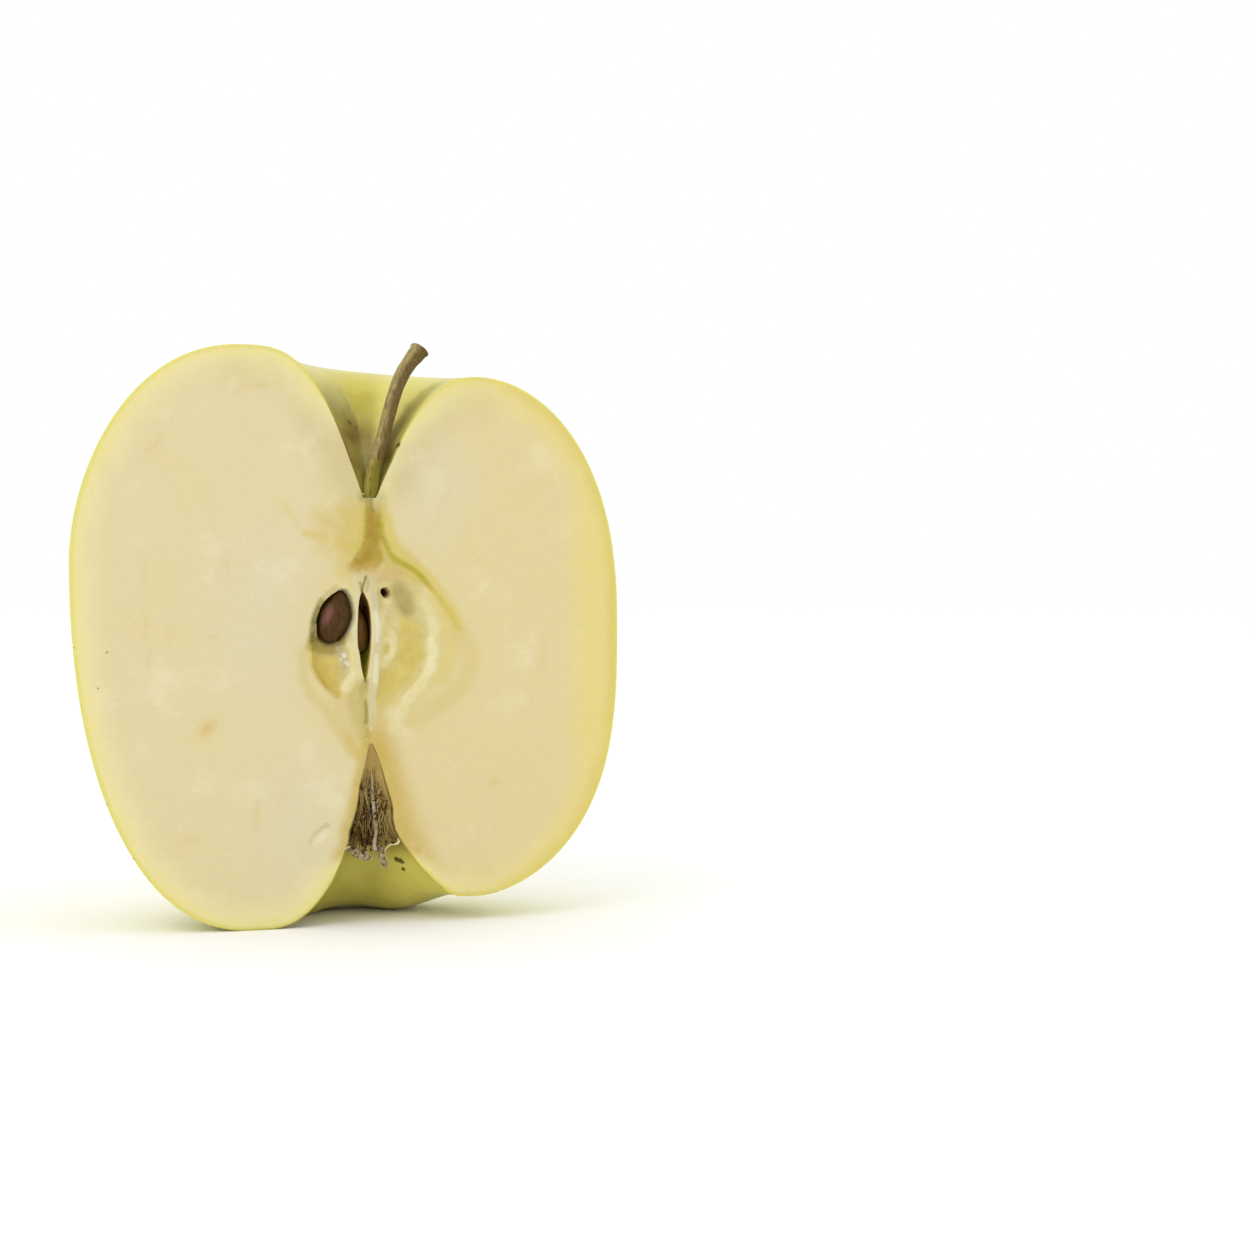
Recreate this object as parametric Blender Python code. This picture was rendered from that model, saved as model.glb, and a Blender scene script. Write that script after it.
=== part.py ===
"""Half of a yellow-green apple, cut from top to bottom through its core and standing on its calyx end.

Sizes are in millimetres round the core axis: x to the right of the cut face, y back into the
fruit, z up from the table. The fruit is a surface turned round the core axis whose sizes change
with the azimuth, closed by the flat cut face. Azimuth 0 is the right edge of the cut, 90 the
middle of the back and 180 the left edge.
"""

import math

import bmesh
import bpy
from mathutils import Matrix, Vector

MM = 0.001

# The sizes of the fruit's outline at three azimuths: the crest beside the stem, the widest
# girth and the foot that it stands on, each as a radius and a height.
CREST_R = {"right": 15.1, "back": 19.0, "left": 17.7}
CREST_Z = {"right": 74.4, "back": 76.0, "left": 78.2}
GIRTH_R = {"right": 35.6, "back": 38.0, "left": 40.35}
GIRTH_Z = {"right": 40.5, "back": 45.0, "left": 49.5}
FOOT_R = {"right": 15.3, "back": 21.2, "left": 16.1}
FOOT_Z = {"right": 3.3, "back": 0.5, "left": 0.25}
PIT_TIP_Z = 55.5
PIT_FLOOR_Z = 57.9
TUBE_Z = 25.3

# How square each stretch of the outline is, across and upward: 2 and 2 is an ellipse.
PIT_CURVE = {"right": (2.29, 0.99), "back": (2.7, 0.98), "left": (3.05, 0.88)}
SHOULDER_CURVE = {"right": (1.97, 2.35), "back": (2.05, 2.05), "left": (2.12, 1.8)}
FLANK_CURVE = {"right": (1.72, 3.0), "back": (2.1, 2.3), "left": (2.21, 2.23)}
BASIN_CURVE = {"right": (3.6, 0.82), "back": (3.2, 1.0), "left": (3.3, 0.92)}

# How fast the left side draws in just behind the cut, and over how many radians of azimuth.
EDGE_FALL = 7.0
EDGE_FALL_SPAN = 0.6

# The folds of the stem pit: their share of its radius, and the azimuth of one crease in degrees.
PIT_FOLD = 0.08
PIT_CREASE = 90.0
PIT_FOLD_PITCH = 72.0

# The bumps and dips round the calyx end, as azimuth, spread and how far each stands down.
LOBES = ((60.0, 18.0, 1.5), (118.0, 17.0, 0.75), (149.0, 13.0, -0.9), (180.0, 16.0, 0.3))
LOBE_GIRTH_SHARE = 0.3

AZIMUTH_STEPS = 44
PIT_STEPS = 9
SHOULDER_STEPS = 12
FLANK_STEPS = 16
BASIN_STEPS = 11

# The hollows that the knife opened in the core: centre, half sizes, lean to the right and how
# much the top draws in.
HOLLOWS = {
    "seed_pocket": {"at": (-4.62, 0.21, 41.9), "half": (2.7, 3.3, 4.25), "lean": 18.0, "point": 0.3},
    "left_locule": {"at": (-5.35, -0.63, 36.2), "half": (2.8, 3.9, 5.3), "lean": -17.0, "point": 0.0},
    "middle_slit": {"at": (-0.7, -0.43, 39.1), "half": (0.96, 8.0, 6.3), "lean": 0.0, "point": 0.0},
    "middle_locule": {"at": (-0.7, 5.4, 39.6), "half": (1.65, 3.3, 5.4), "lean": 0.0, "point": 0.0},
    "right_locule": {"at": (5.2, -2.43, 36.3), "half": (5.1, 3.7, 10.6), "lean": 8.0, "point": 0.0},
    "pin_hole": {"at": (2.4, 0.37, 45.0), "half": (0.5, 2.6, 0.64), "lean": -25.0, "point": 0.0},
}
HOLLOW_SIDES = 24
HOLLOW_RINGS = 12

# The seeds: centre, half sizes across, deep and long, lean to the right and how much the top
# draws in.
SEEDS = {
    "seed_left": {"at": (-4.6, 1.3, 41.9), "half": (2.18, 1.45, 3.65), "lean": 18.0, "point": 0.38},
    "seed_middle": {"at": (-0.7, 5.3, 40.4), "half": (1.05, 2.1, 3.6), "lean": 0.0, "point": 0.38},
}
SEED_SIDES = 20
SEED_RINGS = 14

# The stem: points along its middle and the radius at each, from its foot in the pit to its end.
STEM_POINTS = (
    (0.40, 0.80, 57.75),
    (0.63, 0.85, 61.9),
    (1.12, 0.90, 63.8),
    (1.84, 0.95, 65.8),
    (2.47, 1.00, 68.1),
    (3.20, 1.10, 70.4),
    (4.15, 1.20, 72.9),
    (5.05, 1.30, 74.4),
    (6.12, 1.40, 76.1),
    (6.95, 1.45, 77.4),
    (7.50, 1.50, 78.3),
)
STEM_RADII = (1.10, 1.08, 1.06, 1.05, 1.05, 1.06, 1.07, 1.08, 1.12, 1.25, 1.42)
STEM_SIDES = 14
STEM_STEPS = 34
SOCKET_GAP = 0.32
SOCKET_STEPS = 11

# The dried flower at the calyx end: its strand of old styles and two sepals, each with the
# points along its middle, the radius at each and how flat it is.
DRY_PIECES = {
    "style_strand": {
        "points": (
            (0.3, 0.55, 20.6),
            (0.5, 0.9, 18.4),
            (0.7, 1.15, 15.5),
            (1.0, 1.4, 12.6),
            (1.1, 1.45, 11.1),
        ),
        "radii": (0.18, 0.32, 0.40, 0.36, 0.40),
        "wide": 1.0,
        "deep": 1.0,
    },
    "sepal_left": {
        "points": (
            (-2.25, 1.45, 10.9),
            (-1.5, 1.25, 10.2),
            (-0.8, 1.15, 9.7),
            (-0.1, 1.15, 9.3),
            (0.45, 1.3, 9.0),
        ),
        "radii": (0.42, 0.58, 0.66, 0.62, 0.38),
        "wide": 1.0,
        "deep": 0.55,
    },
    "sepal_middle": {
        "points": ((1.5, 1.65, 10.0), (1.75, 1.4, 9.2), (2.1, 1.3, 8.3), (2.6, 1.4, 7.5)),
        "radii": (0.36, 0.50, 0.56, 0.34),
        "wide": 1.0,
        "deep": 0.6,
    },
}
DRY_SIDES = 10
DRY_STEPS = 14

SKIN_COLOUR = (0.62, 0.60, 0.14, 1.0)
STEM_COLOUR = (0.20, 0.14, 0.06, 1.0)
SEED_COLOUR = (0.07, 0.03, 0.015, 1.0)
CALYX_COLOUR = (0.16, 0.12, 0.08, 1.0)


def clear_scene():
    """Remove every object, so that the script starts from nothing."""
    for old in list(bpy.data.objects):
        bpy.data.objects.remove(old)


def plain_material(name, colour, roughness):
    """A Principled BSDF of one colour."""
    material = bpy.data.materials.new(name)
    material.use_nodes = True
    shader = material.node_tree.nodes["Principled BSDF"]
    shader.inputs["Base Color"].default_value = colour
    shader.inputs["Roughness"].default_value = roughness
    shader.inputs["Metallic"].default_value = 0.0
    material.diffuse_color = colour
    return material


def round_the_core(sizes, azimuth):
    """A size at this azimuth, from its sizes at the right, the back and the left."""
    toward_left = (1.0 - math.cos(azimuth)) / 2.0
    at_back = math.sin(azimuth) ** 2
    straight = sizes["right"] + (sizes["left"] - sizes["right"]) * toward_left
    middle = (sizes["right"] + sizes["left"]) / 2.0
    return straight + (sizes["back"] - middle) * at_back


def curve_at(curves, azimuth):
    """The two powers of a stretch of outline at this azimuth."""
    sides = ("right", "back", "left")
    return [round_the_core({side: curves[side][way] for side in sides}, azimuth) for way in (0, 1)]


def lobe_drop(azimuth):
    """How far the bumps round the calyx end stand down at this azimuth."""
    total = 0.0
    for centre, spread, drop in LOBES:
        offset = (math.degrees(azimuth) - centre) / spread
        total += drop * math.exp(-offset * offset)
    return total


def pit_fold(azimuth):
    """How far the stem pit's wall stands back at this azimuth: most in a crease, least between two."""
    turn = math.pi * (math.degrees(azimuth) - PIT_CREASE) / PIT_FOLD_PITCH
    fade_at_cut = min(1.0, 3.0 * math.sin(azimuth))
    return PIT_FOLD * (1.0 - 2.0 * abs(math.sin(turn))) * fade_at_cut


def stretch(start, end, powers, steps, level_first):
    """Points after start, to end, on a quarter of a superellipse that is level at one end."""
    points = []
    easing = max(powers[0] / 2.0, 1.0)
    for step in range(1, steps + 1):
        share = (step / steps) ** easing if level_first else 1.0 - (1.0 - step / steps) ** easing
        angle = math.pi / 2.0 * share
        along = math.sin(angle)
        across = max(math.cos(angle), 0.0)
        if level_first:
            share_r = along ** (2.0 / powers[0])
            share_z = 1.0 - across ** (2.0 / powers[1])
        else:
            share_r = 1.0 - across ** (2.0 / powers[0])
            share_z = along ** (2.0 / powers[1])
        radius = start[0] + (end[0] - start[0]) * share_r
        height = start[1] + (end[1] - start[1]) * share_z
        points.append((radius, height))
    return points


def outline(azimuth):
    """The fruit's outline at this azimuth, from the bottom of the stem pit to the calyx tube."""
    drop = lobe_drop(azimuth)
    draw_in = EDGE_FALL * math.sin(azimuth) * math.exp((azimuth - math.pi) / EDGE_FALL_SPAN)
    girth_r = round_the_core(GIRTH_R, azimuth) + drop * LOBE_GIRTH_SHARE - draw_in
    pit_tip = (0.0, PIT_TIP_Z)
    crest = (round_the_core(CREST_R, azimuth), round_the_core(CREST_Z, azimuth))
    girth = (girth_r, round_the_core(GIRTH_Z, azimuth))
    foot = (round_the_core(FOOT_R, azimuth), round_the_core(FOOT_Z, azimuth) - drop)
    tube = (0.0, TUBE_Z)
    pit_wall = stretch(pit_tip, crest, curve_at(PIT_CURVE, azimuth), PIT_STEPS, False)
    fold = pit_fold(azimuth)
    points = []
    for step, (radius, height) in enumerate(pit_wall, 1):
        folded = radius * (1.0 + fold * math.sin(math.pi * step / PIT_STEPS))
        points.append((folded, max(height, PIT_FLOOR_Z)))
    points += stretch(crest, girth, curve_at(SHOULDER_CURVE, azimuth), SHOULDER_STEPS, True)
    points += stretch(girth, foot, curve_at(FLANK_CURVE, azimuth), FLANK_STEPS, False)
    points += stretch(foot, tube, curve_at(BASIN_CURVE, azimuth), BASIN_STEPS, True)
    return [(radius, max(height, 0.0)) for radius, height in points]


def object_from(name, mesh_maker, material):
    """A new object whose mesh mesh_maker fills in, in a bmesh of millimetres."""
    shape = bmesh.new()
    mesh_maker(shape)
    bmesh.ops.recalc_face_normals(shape, faces=shape.faces)
    bmesh.ops.scale(shape, vec=(MM, MM, MM), verts=shape.verts)
    mesh = bpy.data.meshes.new(name)
    shape.to_mesh(mesh)
    shape.free()
    made = bpy.data.objects.new(name, mesh)
    bpy.context.scene.collection.objects.link(made)
    if material:
        mesh.materials.append(material)
    return made


def fill_body(shape):
    """The turned half fruit with its flat cut face, still without the hollows of its core."""
    rows = []
    for step in range(AZIMUTH_STEPS + 1):
        azimuth = math.pi * step / AZIMUTH_STEPS
        on_cut = step in (0, AZIMUTH_STEPS)
        row = []
        for radius, height in outline(azimuth)[:-1]:
            deep = 0.0 if on_cut else radius * math.sin(azimuth)
            row.append(shape.verts.new((radius * math.cos(azimuth), deep, height)))
        rows.append(row)
    pit = shape.verts.new((0.0, 0.0, PIT_FLOOR_Z))
    tube = shape.verts.new((0.0, 0.0, TUBE_Z))
    for row, beside in zip(rows, rows[1:]):
        shape.faces.new((pit, row[0], beside[0]))
        shape.faces.new((tube, beside[-1], row[-1]))
        for low in range(len(row) - 1):
            shape.faces.new((row[low], row[low + 1], beside[low + 1], beside[low]))
    cut_face = shape.faces.new([pit, *rows[0], tube, *reversed(rows[-1])])
    bmesh.ops.triangulate(shape, faces=[cut_face])


def fill_egg(shape, size, sides, rings):
    """An egg about the origin, longest along z and drawn in towards its top."""
    bmesh.ops.create_uvsphere(shape, u_segments=sides, v_segments=rings, radius=1.0)
    half = size["half"]
    for vertex in shape.verts:
        x, y, z = vertex.co
        narrow = 1.0 - size["point"] * max(z, 0.0) ** 1.5
        vertex.co = (x * half[0] * narrow, y * half[1] * narrow, z * half[2])


def place(made, at, lean):
    """Stand an object at a point in millimetres, leaning to the right by an angle in degrees."""
    made.location = Vector(at) * MM
    made.rotation_euler = (0.0, math.radians(lean), 0.0)


def smooth_path(points, radii, steps):
    """Even steps along a curve through the points, each with its place and its radius."""
    places = [Vector(point) for point in points]
    last = len(places) - 1
    path = []
    for step in range(steps + 1):
        where = last * step / steps
        index = min(int(where), last - 1)
        share = where - index
        before = places[max(index - 1, 0)]
        after = places[min(index + 2, last)]
        start, end = places[index], places[index + 1]
        leave, arrive = (end - before) / 2.0, (after - start) / 2.0
        squared, cubed = share**2, share**3
        spot = (
            start * (2 * cubed - 3 * squared + 1)
            + leave * (cubed - 2 * squared + share)
            + end * (3 * squared - 2 * cubed)
            + arrive * (cubed - squared)
        )
        path.append((spot, radii[index] + (radii[index + 1] - radii[index]) * share))
    return path


def fill_tube(shape, path, sides, wide=1.0, deep=1.0):
    """A closed tube along a path, its section stretched by wide across and by deep front to back."""
    rings = []
    for index, (spot, radius) in enumerate(path):
        ahead = path[min(index + 1, len(path) - 1)][0]
        behind = path[max(index - 1, 0)][0]
        along = (ahead - behind).normalized()
        across = Vector((0.0, 1.0, 0.0)).cross(along).normalized()
        front = along.cross(across).normalized()
        ring = []
        for side in range(sides):
            turn = 2.0 * math.pi * side / sides
            reach = across * math.cos(turn) * wide + front * math.sin(turn) * deep
            ring.append(shape.verts.new(spot + reach * radius))
        rings.append(ring)
    for ring, following in zip(rings, rings[1:]):
        for side in range(sides):
            beside = (side + 1) % sides
            shape.faces.new((ring[side], ring[beside], following[beside], following[side]))
    shape.faces.new(rings[0])
    shape.faces.new(list(reversed(rings[-1])))


def cut_from(body, name, cutter):
    """Cut the cutter out of the body, and hide the cutter."""
    cutter.hide_render = True
    cutter.display_type = "WIRE"
    cut = body.modifiers.new(name, "BOOLEAN")
    cut.operation = "DIFFERENCE"
    cut.object = cutter


def make_body(skin):
    """The flesh and skin in one solid, with the hollows that the cut opened."""
    body = object_from("apple_body", fill_body, skin)
    for name, size in HOLLOWS.items():
        cutter = object_from(
            name + "_cutter",
            lambda shape, size=size: fill_egg(shape, size, HOLLOW_SIDES, HOLLOW_RINGS),
            None,
        )
        place(cutter, size["at"], size["lean"])
        cut_from(body, name, cutter)
    path = smooth_path(STEM_POINTS, STEM_RADII, STEM_STEPS)[:SOCKET_STEPS]
    socket_path = [(spot, radius + SOCKET_GAP) for spot, radius in path]
    socket_path[0] = (path[0][0] - Vector((0.0, 0.0, SOCKET_GAP)), socket_path[0][1])
    socket = object_from(
        "stem_socket_cutter",
        lambda shape: fill_tube(shape, socket_path, STEM_SIDES),
        None,
    )
    cut_from(body, "stem_socket", socket)
    return body


def make_seeds(brown):
    """The seed in each opened locule."""
    for name, size in SEEDS.items():
        seed = object_from(
            name,
            lambda shape, size=size: fill_egg(shape, size, SEED_SIDES, SEED_RINGS),
            brown,
        )
        place(seed, size["at"], size["lean"])


def make_stem(bark):
    """The stem, bent to the right and wider at its end, where it left the twig."""
    path = smooth_path(STEM_POINTS, STEM_RADII, STEM_STEPS)
    object_from("stem", lambda shape: fill_tube(shape, path, STEM_SIDES), bark)


def make_calyx(dry):
    """The dried strand and sepals at the calyx end."""
    for name, size in DRY_PIECES.items():
        path = smooth_path(size["points"], size["radii"], DRY_STEPS)
        object_from(
            name,
            lambda shape, path=path, size=size: fill_tube(
                shape, path, DRY_SIDES, size["wide"], size["deep"]
            ),
            dry,
        )


def centre_over_origin(pieces):
    """Hang every piece on one empty, set so that the origin is under the middle of the fruit."""
    core = bpy.data.objects.new("core_axis", None)
    bpy.context.scene.collection.objects.link(core)
    spots = []
    for piece in pieces:
        if not piece.hide_render:
            spots += [piece.matrix_basis @ vertex.co for vertex in piece.data.vertices]
        piece.parent = core
    for axis in (0, 1):
        along = [spot[axis] for spot in spots]
        core.location[axis] = -(min(along) + max(along)) / 2.0


def main():
    clear_scene()
    make_body(plain_material("skin_and_flesh", SKIN_COLOUR, 0.4))
    make_stem(plain_material("stem_bark", STEM_COLOUR, 0.8))
    make_seeds(plain_material("seed_coat", SEED_COLOUR, 0.3))
    make_calyx(plain_material("dry_calyx", CALYX_COLOUR, 0.9))
    centre_over_origin(list(bpy.data.objects))


main()
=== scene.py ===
import math
import random

import bmesh
import bpy
import numpy as np
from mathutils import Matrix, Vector, geometry, noise


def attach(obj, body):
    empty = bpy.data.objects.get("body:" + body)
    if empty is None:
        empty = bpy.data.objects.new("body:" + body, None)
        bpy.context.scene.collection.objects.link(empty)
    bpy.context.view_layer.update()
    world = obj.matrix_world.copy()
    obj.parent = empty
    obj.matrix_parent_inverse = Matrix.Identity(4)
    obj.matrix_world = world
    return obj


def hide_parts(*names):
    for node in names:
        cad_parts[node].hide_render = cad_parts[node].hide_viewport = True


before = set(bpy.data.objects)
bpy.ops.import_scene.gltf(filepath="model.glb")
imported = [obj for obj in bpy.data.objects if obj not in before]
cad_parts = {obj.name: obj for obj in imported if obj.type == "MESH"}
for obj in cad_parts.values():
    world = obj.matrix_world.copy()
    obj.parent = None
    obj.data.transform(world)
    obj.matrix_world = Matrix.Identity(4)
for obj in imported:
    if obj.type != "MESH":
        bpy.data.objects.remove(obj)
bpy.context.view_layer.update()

millimetre = 0.001
corePlace = np.array((2.4195, -18.6355, 0.0))  # the core's line in the part, in millimetres


def paintColour(red, green, blue):  # 0-255 as on a paint card, to the linear colour that sockets take
    linear = []
    for value in (red, green, blue):
        share = value / 255
        linear.append(share / 12.92 if share <= 0.04045 else ((share + 0.055) / 1.055) ** 2.4)
    return (*linear, 1.0)


class Wire:  # a shader socket that can stand in a sum
    def __init__(self, recipe, socket):
        self.recipe = recipe
        self.socket = socket

    def sum(self, operation, first, second):
        return self.recipe.node("ShaderNodeMath", {"operation": operation}, {0: first, 1: second})

    def __add__(self, other):
        return self.sum("ADD", self, other)

    def __radd__(self, other):
        return self.sum("ADD", other, self)

    def __sub__(self, other):
        return self.sum("SUBTRACT", self, other)

    def __rsub__(self, other):
        return self.sum("SUBTRACT", other, self)

    def __mul__(self, other):
        return self.sum("MULTIPLY", self, other)

    def __rmul__(self, other):
        return self.sum("MULTIPLY", other, self)


class Recipe:  # one material as it is put together
    def __init__(self, name):
        self.material = bpy.data.materials.new(name)
        self.material.use_nodes = True
        self.tree = self.material.node_tree
        self.tree.nodes.clear()

    def node(self, kind, settings=None, sockets=None, output=0):
        made = self.tree.nodes.new(kind)
        for key, value in (settings or {}).items():
            setattr(made, key, value)
        for key, value in (sockets or {}).items():
            if isinstance(value, Wire):
                self.tree.links.new(value.socket, made.inputs[key])
            else:
                made.inputs[key].default_value = value
        return Wire(self, made.outputs[output]) if made.outputs else None

    def places(self):  # where a point is on the piece, in millimetres
        raw = self.node("ShaderNodeTexCoord", output="Object")
        return self.stretched(raw, (1000, 1000, 1000))

    def stretched(self, places, factors):
        return self.vector("MULTIPLY", places, factors)

    def vector(self, operation, first, second, output=0):
        return self.node("ShaderNodeVectorMath", {"operation": operation}, {0: first, 1: second}, output)

    def gapTo(self, places, spot):  # from a spot on the fruit, in millimetres about the core
        spot = tuple(float(value) for value in np.array(spot) + corePlace)
        return self.vector("DISTANCE", places, spot, "Value")

    def cloud(self, places, size, detail=3.0, roughness=0.55, distortion=0.0):
        sockets = {"Vector": places, "Scale": 1.0 / size, "Detail": detail, "Roughness": roughness}
        return self.node("ShaderNodeTexNoise", None, {**sockets, "Distortion": distortion})

    def cells(self, places, size, output="Distance"):
        return self.node("ShaderNodeTexVoronoi", None, {"Vector": places, "Scale": 1.0 / size}, output)

    def rise(self, value, low, high, start=0.0, end=1.0):  # smoothly from start to end
        settings = {"interpolation_type": "SMOOTHSTEP", "clamp": True}
        return self.node("ShaderNodeMapRange", settings, {0: value, 1: low, 2: high, 3: start, 4: end})

    def painted(self, name, output="Fac"):
        return self.node("ShaderNodeAttribute", {"attribute_name": name}, None, output)

    def blend(self, share, under, over):  # a plain tuple is a colour on the paint card
        under, over = [paintColour(*shade) if isinstance(shade, tuple) else shade for shade in (under, over)]
        settings = {"data_type": "RGBA", "clamp_factor": True}
        return self.node("ShaderNodeMix", settings, {0: share, 6: under, 7: over}, 2)

    def layers(self, under, *coats):  # each coat: its colour, what it follows, and a rise of its strength
        for colour, value, *stretch in coats:
            under = self.blend(self.rise(value, *stretch), under, colour)
        return under

    def relief(self, height, depth):
        sockets = {"Height": height, "Distance": depth, "Strength": 1.0}
        return self.node("ShaderNodeBump", None, sockets, "Normal")

    def finish(self, colour, rough, specular, bump=None, others=None):
        sockets = {"Base Color": colour, "Roughness": rough, "Specular IOR Level": specular, **(others or {})}
        if bump is not None:
            sockets["Normal"] = bump
        shader = self.node("ShaderNodeBsdfPrincipled", None, sockets)
        self.node("ShaderNodeOutputMaterial", None, {"Surface": shader})
        return self.material


# lines and patches on the cut face are in millimetres right of and above the core's foot
def easeStep(value, low, high):
    share = np.clip((value - low) / (high - low), 0.0, 1.0)
    return share * share * (3.0 - 2.0 * share)


def gapToLine(spots, line, closed=False):
    line = [tuple(point) for point in line]
    ends = line[1:] + [line[0]] if closed else line[1:]
    best = np.full(len(spots), 1e9)
    for start, end in zip(line, ends):
        begin = np.array(start[:2])
        run = np.array(end[:2]) - begin
        share = np.clip(((spots - begin) @ run) / max(run @ run, 1e-12), 0.0, 1.0)
        off = np.linalg.norm(spots - begin - share[:, None] * run, axis=1)
        if len(start) > 2:  # a third number is the line's own breadth there
            off = off - (start[2] + (end[2] - start[2]) * share) / 2
        best = np.minimum(best, off)
    return best


def within(spots, edge):
    inside = np.zeros(len(spots), bool)
    across, up = spots[:, 0], spots[:, 1]
    for (x0, z0), (x1, z1) in zip(edge, edge[1:] + edge[:1]):
        if z0 == z1:
            continue
        crosses = (z0 > up) != (z1 > up)
        inside ^= crosses & (across < (x1 - x0) * (up - z0) / (z1 - z0) + x0)
    return inside


def onLine(spots, line, soft):
    return 1.0 - easeStep(gapToLine(spots, line), 0.0, soft)


def onPatch(spots, edge, soft):
    edge = [tuple(point) for point in edge]
    gap = gapToLine(spots, edge, True)
    signed = np.where(within(spots, edge), gap, -gap)
    return easeStep(signed, -soft / 2, soft / 2)


def ripple(places, size, seed):  # smooth noise from -1 to 1 with lumps of about this size
    shift = Vector((seed * 17.3, seed * 5.9, seed * 11.7))
    return np.array([noise.noise(Vector(place) / size + shift) for place in places])


def across(spots):
    return [(x, 0.0, z) for x, z in spots]


# the fruit's form: the same sizes that its solid has, in finer steps
fruit = {
    "crestR": {"right": 15.1, "back": 19.0, "left": 17.7},
    "crestZ": {"right": 74.4, "back": 76.0, "left": 78.2},
    "girthR": {"right": 35.6, "back": 38.0, "left": 40.35},
    "girthZ": {"right": 40.5, "back": 45.0, "left": 49.5},
    "footR": {"right": 15.3, "back": 21.2, "left": 16.1},
    "footZ": {"right": 3.3, "back": 0.5, "left": 0.25},
    "pitTipZ": 55.5,
    "pitFloorZ": 57.9,
    "tubeZ": 25.3,
    "pitCurve": {"right": (2.29, 0.99), "back": (2.7, 0.98), "left": (3.05, 0.88)},
    "shoulderCurve": {"right": (1.97, 2.35), "back": (2.05, 2.05), "left": (2.12, 1.8)},
    "flankCurve": {"right": (1.72, 3.0), "back": (2.1, 2.3), "left": (2.21, 2.23)},
    "basinCurve": {"right": (3.6, 0.82), "back": (3.2, 1.0), "left": (3.3, 0.92)},
    "edgeFall": 7.0,
    "edgeFallSpan": 0.6,
    "pitFold": 0.08,
    "pitCrease": 90.0,
    "pitFoldPitch": 72.0,
    "lobes": ((60.0, 18.0, 1.5), (118.0, 17.0, 0.75), (149.0, 13.0, -0.9), (180.0, 16.0, 0.3)),
    "lobeGirthShare": 0.3,
    "aroundSteps": 156,
    "pitSteps": 30,
    "shoulderSteps": 32,
    "flankSteps": 42,
    "basinSteps": 34,
    "rimRound": 0.2,  # how far the skin's edge is rounded over where it was cut
}


def roundTheCore(sizes, azimuth):
    towardLeft = (1 - math.cos(azimuth)) / 2
    atBack = math.sin(azimuth) ** 2
    straight = sizes["right"] + (sizes["left"] - sizes["right"]) * towardLeft
    return straight + (sizes["back"] - (sizes["right"] + sizes["left"]) / 2) * atBack


def curveAt(curves, azimuth):
    sides = ("right", "back", "left")
    return [roundTheCore({side: curves[side][way] for side in sides}, azimuth) for way in (0, 1)]


def lobeDrop(azimuth):
    total = 0.0
    for centre, spread, drop in fruit["lobes"]:
        total += drop * math.exp(-(((math.degrees(azimuth) - centre) / spread) ** 2))
    return total


def pitFoldAt(azimuth):
    turn = math.pi * (math.degrees(azimuth) - fruit["pitCrease"]) / fruit["pitFoldPitch"]
    return fruit["pitFold"] * (1 - 2 * abs(math.sin(turn))) * min(1.0, 3 * math.sin(azimuth))


def stretchOf(start, end, powers, steps, levelFirst):
    points = []
    easing = max(powers[0] / 2, 1.0)
    for step in range(1, steps + 1):
        share = (step / steps) ** easing if levelFirst else 1 - (1 - step / steps) ** easing
        angle = math.pi / 2 * share
        along, over = math.sin(angle), max(math.cos(angle), 0.0)
        if levelFirst:
            shareR, shareZ = along ** (2 / powers[0]), 1 - over ** (2 / powers[1])
        else:
            shareR, shareZ = 1 - over ** (2 / powers[0]), along ** (2 / powers[1])
        points.append((start[0] + (end[0] - start[0]) * shareR, start[1] + (end[1] - start[1]) * shareZ))
    return points


def outlineAt(azimuth):  # from the bottom of the stem pit, over the shoulder, to the top of the calyx tube
    drop = lobeDrop(azimuth)
    drawIn = fruit["edgeFall"] * math.sin(azimuth) * math.exp((azimuth - math.pi) / fruit["edgeFallSpan"])
    girthR = roundTheCore(fruit["girthR"], azimuth) + drop * fruit["lobeGirthShare"] - drawIn
    crest = (roundTheCore(fruit["crestR"], azimuth), roundTheCore(fruit["crestZ"], azimuth))
    girth = (girthR, roundTheCore(fruit["girthZ"], azimuth))
    foot = (roundTheCore(fruit["footR"], azimuth), roundTheCore(fruit["footZ"], azimuth) - drop)
    fold = pitFoldAt(azimuth)
    steps = fruit["pitSteps"]
    points = []
    pitWall = stretchOf((0.0, fruit["pitTipZ"]), crest, curveAt(fruit["pitCurve"], azimuth), steps, False)
    for step, (radius, height) in enumerate(pitWall, 1):
        folded = radius * (1 + fold * math.sin(math.pi * step / steps))
        points.append((folded, max(height, fruit["pitFloorZ"])))
    points += stretchOf(crest, girth, curveAt(fruit["shoulderCurve"], azimuth), fruit["shoulderSteps"], True)
    points += stretchOf(girth, foot, curveAt(fruit["flankCurve"], azimuth), fruit["flankSteps"], False)
    tube = (0.0, fruit["tubeZ"])
    points += stretchOf(foot, tube, curveAt(fruit["basinCurve"], azimuth), fruit["basinSteps"], True)
    return [(radius, max(height, 0.0)) for radius, height in points]


def drawnIn(side):  # a side's outline on the cut, moved into the flesh by the rounding of the rim
    points = np.array(side)
    moved = []
    for index, point in enumerate(points):
        run = points[min(index + 1, len(points) - 1)] - points[max(index - 1, 0)]
        run /= max(np.linalg.norm(run), 1e-9)
        inset = min(fruit["rimRound"], 0.08 * point[0])
        moved.append((point[0] - run[1] * -inset, point[1] + run[0] * -inset))
    return moved


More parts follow.
